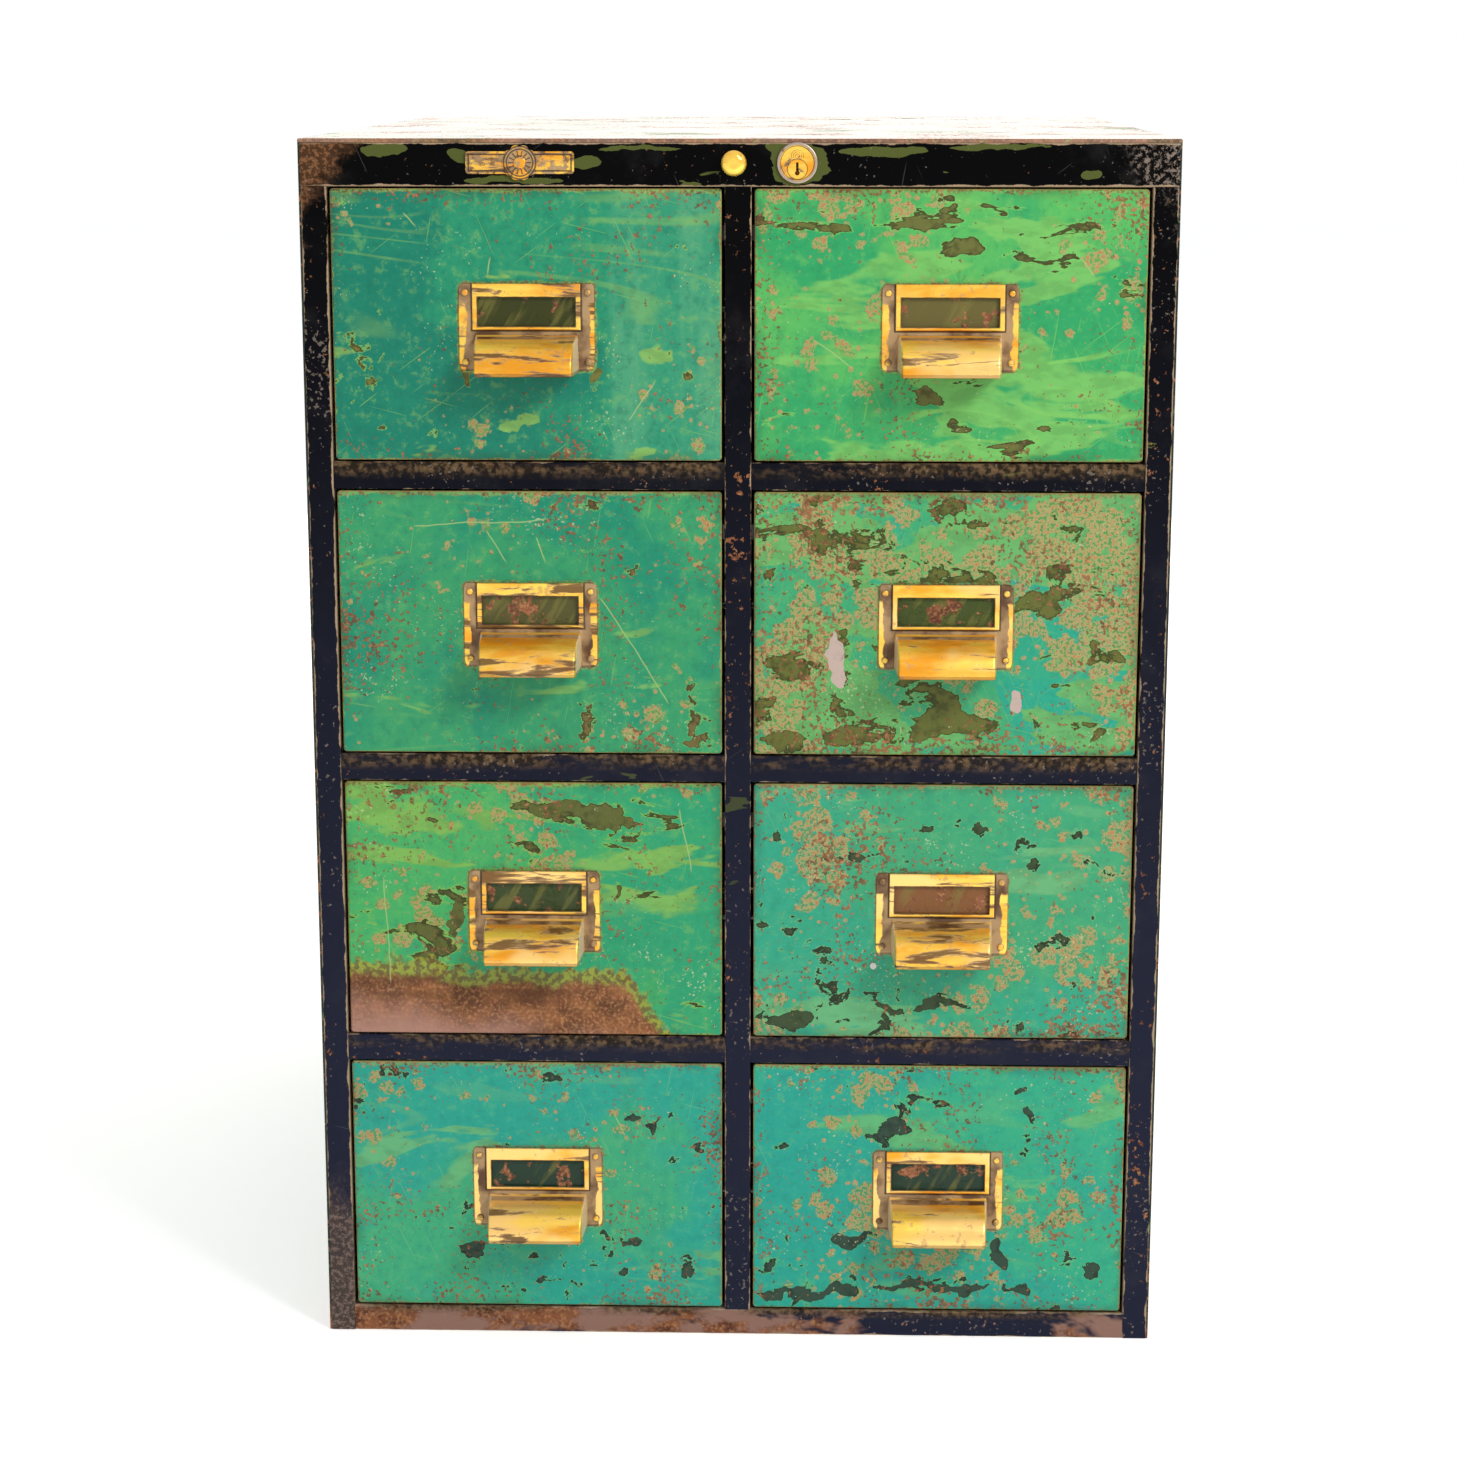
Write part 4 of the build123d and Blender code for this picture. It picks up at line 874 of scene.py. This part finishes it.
def pull_mesh(name, centre, low, high):
    """One brass stamping: plate, raised frame round an open window, and the hooded grip."""
    half = (high.x - low.x) / 2 / MM
    lip, top = (low.z - centre.z) / MM, (high.z - centre.z) / MM
    foot = lip + 1.0
    rows = pull_rows(lip, top)
    columns = [(-x, hood, framed) for x, hood, framed in reversed(COLUMNS[1:])] + COLUMNS
    shape = bmesh.new()
    grid = []
    for z, out in rows:
        line = []
        for x, hood, framed in columns:
            hooded = out * hood
            raised = FRAME_OUT * framed * min(1.0, max(0.0, z - FRAME_FOOT + 0.7))
            drawn = x * (1 - TAPER / 33 * hooded / REACH)
            place = z
            if hood < 0.06:          # the plate ends a little above the hood's lip
                place = max(z, foot + (z - lip) * 0.15)
                drawn = in_corner(x, place, half, foot, top)
            stand_out = SHEET_MM + max(hooded, raised)
            point = (centre.x + drawn * MM, FACE - stand_out * MM, centre.z + place * MM)
            line.append(shape.verts.new(point))
        grid.append(line)
    for i in range(len(rows) - 1):
        middle_z = (rows[i][0] + rows[i + 1][0]) / 2
        for j in range(len(columns) - 1):
            middle_x = (columns[j][0] + columns[j + 1][0]) / 2
            if abs(middle_x) > WINDOW_HALF or not WINDOW_FOOT < middle_z < WINDOW_TOP:
                shape.faces.new((*grid[i][j:j + 2], *reversed(grid[i + 1][j:j + 2])))
    bmesh.ops.recalc_face_normals(shape, faces=shape.faces)
    bmesh.ops.delete(shape, geom=[v for v in shape.verts if not v.link_faces], context="VERTS")
    mesh = bpy.data.meshes.new(name)
    shape.to_mesh(mesh)
    shape.free()
    return stamped(name, mesh, SHEET_MM, 1)


def stamped(name, mesh, thickness, levels):
    """An object from an open mesh: given its sheet's thickness, then smoothed."""
    piece = bpy.data.objects.new(name, mesh)
    bpy.context.scene.collection.objects.link(piece)
    front = max(mesh.polygons, key=lambda face: face.area)
    thick = piece.modifiers.new("thickness", "SOLIDIFY")
    thick.thickness = thickness * MM
    thick.offset = -1 if front.normal.y < 0 else 1
    thick.use_even_offset = True
    smooth = piece.modifiers.new("rounding", "SUBSURF")
    smooth.levels = smooth.render_levels = levels
    for face in mesh.polygons:
        face.use_smooth = True
    return piece


# ---- put the materials on -----------------------------------------------------------------
def finish_node(node, material):
    """One material on every slot of a CAD node."""
    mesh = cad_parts[node].data
    for i in range(len(mesh.materials)):
        mesh.materials[i] = material


def across_x(inner, outer):
    """Distance to the nearer fold of an upright member, from its inner and outer x."""
    def edge(g):
        place = g.size(g.axis(X))
        return g.times(g.least(g.add(place, -inner), g.minus(outer, place)), 1 / MM)
    return edge


def across_z(low, high):
    """The same for a level member, from its lowest and highest z."""
    def edge(g):
        place = g.axis(Z)
        return g.times(g.least(g.add(place, -low), g.minus(high, place)), 1 / MM)
    return edge


def rail_place(g):
    """0 to 1 up each cross rail."""
    low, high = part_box("cross_rails")
    pitch = (high.z - low.z - RAIL) / 2
    return g.times(g.math("MODULO", g.axis(Z, low.z - pitch), pitch), 1 / RAIL)


def across_rails(g):
    """Distance to the nearer fold of a cross rail."""
    place = rail_place(g)
    return g.times(g.least(place, g.minus(1.0, place)), RAIL / MM)


TOP_RAIL_SPOTS = ((92, 797, 26, 3.0), (146, 799, 18, 2.6), (170, 801, 34, 2.2), (38, 790, 17, 15),
                  (24, 800, 6, 3), (-222, 797, 14, 4), (-176, 794, 8, 5), (-100, 790, 10, 4),
                  (-140, 779, 34, 2.5), (132, 784, 6, 2), (225, 783, 7, 3), (-60, 799, 30, 1.6))
SHEET = (1, 1, 1)          # no grain: pressed sheet, against drawn bars


def finish_frame():
    """The black members round the drawers."""
    stile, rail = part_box("front_stiles")[1].x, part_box("bottom_rail")[1]
    finish_node("front_stiles", frame_paint("paint_stiles", 101, across_x(rail.x, stile), 0.15, 0.55, 0.6,
                                            ends=True))
    finish_node("mullion", frame_paint("paint_mullion", 113, across_x(-1.0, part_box("mullion")[1].x),
                                       0.25, 0.5, 0.3))
    low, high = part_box("top_rail")
    finish_node("top_rail", frame_paint("paint_top_rail", 127, across_z(low.z, high.z), 0.7, 0.35, 0.9,
                                        spots=TOP_RAIL_SPOTS, ends=True))
    finish_node("cross_rails", frame_paint("paint_cross_rails", 131, across_rails, 0.45, 0.4, 0.1,
                                           dust=lambda g: g.step(rail_place(g), 0.3, 0.85)))
    low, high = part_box("bottom_rail")
    finish_node("bottom_rail", frame_paint("paint_bottom_rail", 139, across_z(low.z, high.z), 0.1, 0.8,
                                           patches=1.0,
                                           dust=lambda g: g.step(g.axis(Z), 0.6 * high.z, high.z)))


def finish_case():
    """The green sheets, and the plain steel behind and below the drawers."""
    wrap = FRONT + 12 * MM
    finish_node("left_side_panel", case_paint("paint_left_side", 151, wrap=wrap))
    finish_node("right_side_panel", case_paint("paint_right_side", 163, 0.5, 0.5, wrap=wrap))
    # the top's pale pink patches are worn primer in part and a painted reflection in part
    finish_node("top_panel", case_paint("paint_top", 173, 0.35, 0.4, FRONT, 0.45, primer_and_reflection=0.75))
    finish_node("back_panel", case_paint("paint_back", 181, 0.6, 0.25))
    finish_node("base_pan", bare_steel("steel_base", 191, (98, 86, 76), SHEET, 1.0))
    finish_node("rear_posts", tray_paint("paint_posts", 197))
    finish_node("drawer_runners", bare_steel("steel_runners", 199, rust=0.5))
    finish_node("back_panel_screws", bare_steel("steel_screws", 211, (140, 134, 120), SHEET, 0.8))
    finish_node("lock_bar", bare_steel("steel_lock_bar", 223, grain=(1, 1, 0.1), rust=0.4))
    finish_spring()


def spring_mesh(name, low, high):
    """A coil spring that fills a box, with closed ends."""
    wire, turns, steps, sides = 0.5 * MM, 9, 28, 10
    closing = 0.035                     # how much closer the pitch is at both ends
    coil = (high.x - low.x) / 2 - wire
    centre = (low + high) / 2
    rise = high.z - low.z - 2 * wire
    shape = bmesh.new()
    rings = []
    for i in range(turns * steps + 1):
        share = i / (turns * steps)
        turn = 2 * pi * turns * share
        height = low.z + wire + rise * (share - closing * sin(2 * pi * share))
        hub = Vector((centre.x + coil * cos(turn), centre.y + coil * sin(turn), height))
        outward = Vector((cos(turn), sin(turn), 0))
        ring = []
        for k in range(sides):
            tilt = 2 * pi * k / sides
            ring.append(shape.verts.new(hub + wire * (cos(tilt) * outward + sin(tilt) * UP)))
        rings.append(ring)
    for first, second in zip(rings, rings[1:]):
        for k in range(sides):
            shape.faces.new((first[k], first[k - 1], second[k - 1], second[k]))
    shape.faces.new(rings[0])
    shape.faces.new(reversed(rings[-1]))
    bmesh.ops.recalc_face_normals(shape, faces=shape.faces)
    mesh = bpy.data.meshes.new(name)
    shape.to_mesh(mesh)
    shape.free()
    for face in mesh.polygons:
        face.use_smooth = True
    spring = bpy.data.objects.new(name, mesh)
    bpy.context.scene.collection.objects.link(spring)
    return spring


def finish_spring():
    """The return spring stands on the base pan."""
    low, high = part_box("lock_spring")
    spring = spring_mesh("return_spring", low, high)
    spring.data.materials.append(bare_steel("steel_spring", 227, (88, 88, 92), SHEET, 0.2))
    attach(spring, "case")
    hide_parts("lock_spring")
    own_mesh(spring)


def lock_marks(g, x, z):
    """Turned lines on the lock's face: a ring round the plug, and arcs above it."""
    def ring(radius, width, low):
        far = g.math("SQRT", g.add(g.times(x, x), g.times(g.add(z, -low), g.add(z, -low))))
        return g.step(g.size(g.add(far, -radius)), width, 0.4 * width)
    arcs = g.times(g.either(*(ring(radius, 0.22, 4.2) for radius in (1.3, 2.6, 3.9))), g.step(z, 2.6, 3.2))
    return g.either(ring(10.6, 0.35, 0.0), ring(6.4, 0.32, -3.9), arcs)


def plate_marks(g, x, z):
    """Sunk lines on the nameplate: a border along the bar, a ring and rays on the roundel."""
    far = g.math("SQRT", g.add(g.times(x, x), g.times(z, z)))
    roundel = g.step(far, 9.6, 9.3)
    border = g.step(g.size(g.add(inside(g, x, z, 34.5, (-7.0, 7.0)), -1.9)), 0.75, 0.35)
    ring = g.step(g.size(g.add(far, -8.4)), 0.7, 0.3)
    rays = g.step(g.math("COSINE", g.times(g.math("ARCTAN2", z, x), 14.0)), 0.35, 0.8)
    rays = g.times(rays, g.step(far, 7.6, 7.2), g.step(far, 3.4, 3.8))
    outline = g.step(g.size(g.add(far, -10.2)), 0.7, 0.4)
    return g.either(g.without(border, roundel), g.times(g.either(ring, rays), roundel), outline)


def finish_lock():
    """The brass of the lock and the nameplate, and the lock's pale ring."""
    def coat(node, name, seed, *args, **named):
        low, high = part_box(node)
        centre = (low.x + high.x) / 2, (low.z + high.z) / 2
        finish_node(node, brass(name, seed, centre, *args, **named))

    coat("lock_cylinder", "brass_lock_face", 301, kept_face, 0.2, lock_marks)
    coat("lock_plug", "brass_plug", 307, kept_face, 0.1)
    coat("lock_button", "brass_button", 313, kept_all, 0.1, gloss=0.06)
    coat("nameplate", "brass_nameplate", 317, kept_mottled, 1.2, plate_marks)
    finish_node("lock_ring", bare_steel("nickel_ring", 311, (226, 204, 190), SHEET, 0.1))


def finish_drawers():
    """Each drawer's front, tray, follower and rivets, and its stamped pull."""
    liner = tray_paint("paint_trays", 401)
    follower = bare_steel("steel_followers", 409, (120, 118, 112), (1, 1, 0.2), 0.3)
    for key, look in DRAWERS.items():
        body = f"drawer_{key}"
        finish_node(f"{body}_front", drawer_paint(key, look))
        finish_node(f"{body}_tray", liner)
        finish_node(f"{body}_follower", follower)
        low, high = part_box(f"{body}_pull_rivets")
        centre = (low + high) / 2
        place = (centre.x, centre.z)
        rivets = brass(f"brass_rivets_{key}", look["seed"] + 600, place, kept_rivet, 0.6)
        finish_node(f"{body}_pull_rivets", rivets)
        streaks, pale = look["brass"]
        pull = pull_mesh(f"pull_{key}", centre, *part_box(f"{body}_pull"))
        # the pull's brass, with painted shade along its edges
        pull.data.materials.append(brass(f"brass_{key}", look["seed"] + 500, place, kept_on_pull, streaks,
                                         pull_painted_shade, HOOD_FLANK, pale=pale))
        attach(pull, body)
        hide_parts(f"{body}_pull")


finish_frame()
finish_case()
finish_lock()
finish_drawers()


# ---- floor, light and camera --------------------------------------------------------------
def make_floor():
    """A pale floor just under the object, faintly lit from within so that it fades into the room."""
    mesh = bpy.data.meshes.new("floor")
    reach, drop, glow = 14.0, -0.3 * MM, 0.36
    corners = ((-reach, -reach), (reach, -reach), (reach, reach), (-reach, reach))
    mesh.from_pydata([(x, y, drop) for x, y in corners], [], [(0, 1, 2, 3)])
    floor = bpy.data.objects.new("floor", mesh)
    bpy.context.scene.collection.objects.link(floor)
    g = Graph("floor_pale")
    g.colour = g.mix(g.noise(3, detail=2), (0.9, 0.9, 0.895, 1), (0.94, 0.94, 0.935, 1))
    floor.data.materials.append(g.finish(0.6, g.bump(g.noise(60, detail=2), 0.0001)))
    shader = g.tree.nodes["Principled BSDF"]
    shader.inputs["Emission Color"].default_value = (1, 1, 1, 1)
    shader.inputs["Emission Strength"].default_value = glow


def aim(thing, target):
    thing.rotation_euler = (Vector(target) - thing.location).to_track_quat("-Z", "Y").to_euler()


def softbox(name, place, target, size, power, colour=(1, 1, 1)):
    """A soft rectangular light, not itself in view."""
    light = bpy.data.lights.new(name, "AREA")
    light.shape = "RECTANGLE"
    light.size, light.size_y = size
    light.energy = power
    light.color = colour
    lamp = bpy.data.objects.new(name, light)
    lamp.location = place
    lamp.visible_camera = False
    aim(lamp, target)
    bpy.context.scene.collection.objects.link(lamp)


def make_lights():
    """A key from the upper right, and even light from all round, strongest behind."""
    middle, seen_white, ambient = (0, 0, 0.42), 1.0, 0.7
    softbox("key", (1.8, -2.3, 2.4), middle, (0.9, 0.9), 75, (1.0, 0.98, 0.95))
    softbox("back", (0, 3.6, 1.3), (0, 0, 1.3), (7.0, 2.5), 80, (1.0, 0.87, 0.8))
    world = bpy.data.worlds.new("studio")
    world.use_nodes = True
    tree = world.node_tree
    seen, lighting = tree.nodes["Background"], tree.nodes.new("ShaderNodeBackground")
    seen.inputs["Color"].default_value = (1, 1, 1, 1)
    seen.inputs["Strength"].default_value = seen_white
    lighting.inputs["Color"].default_value = (0.98, 0.99, 1.0, 1)
    lighting.inputs["Strength"].default_value = ambient
    rays, pick = tree.nodes.new("ShaderNodeLightPath"), tree.nodes.new("ShaderNodeMixShader")
    tree.links.new(rays.outputs["Is Camera Ray"], pick.inputs[0])
    tree.links.new(lighting.outputs[0], pick.inputs[1])
    tree.links.new(seen.outputs[0], pick.inputs[2])
    tree.links.new(pick.outputs[0], tree.nodes["World Output"].inputs[0])
    bpy.context.scene.world = world
    bpy.context.scene.view_settings.view_transform = "Standard"


def make_camera():
    """At a seated person's eye height, a little right of the middle, tilted down."""
    data = bpy.data.cameras.new("camera")
    data.lens, data.sensor_width = 78.15, 36.0
    camera = bpy.data.objects.new("camera", data)
    camera.location = (0.0535, FRONT - 2.0316, 0.8581)
    camera.rotation_euler = (radians(90 - 12.06), 0, radians(1.68))
    bpy.context.scene.collection.objects.link(camera)
    bpy.context.scene.camera = camera


make_floor()
make_lights()
make_camera()
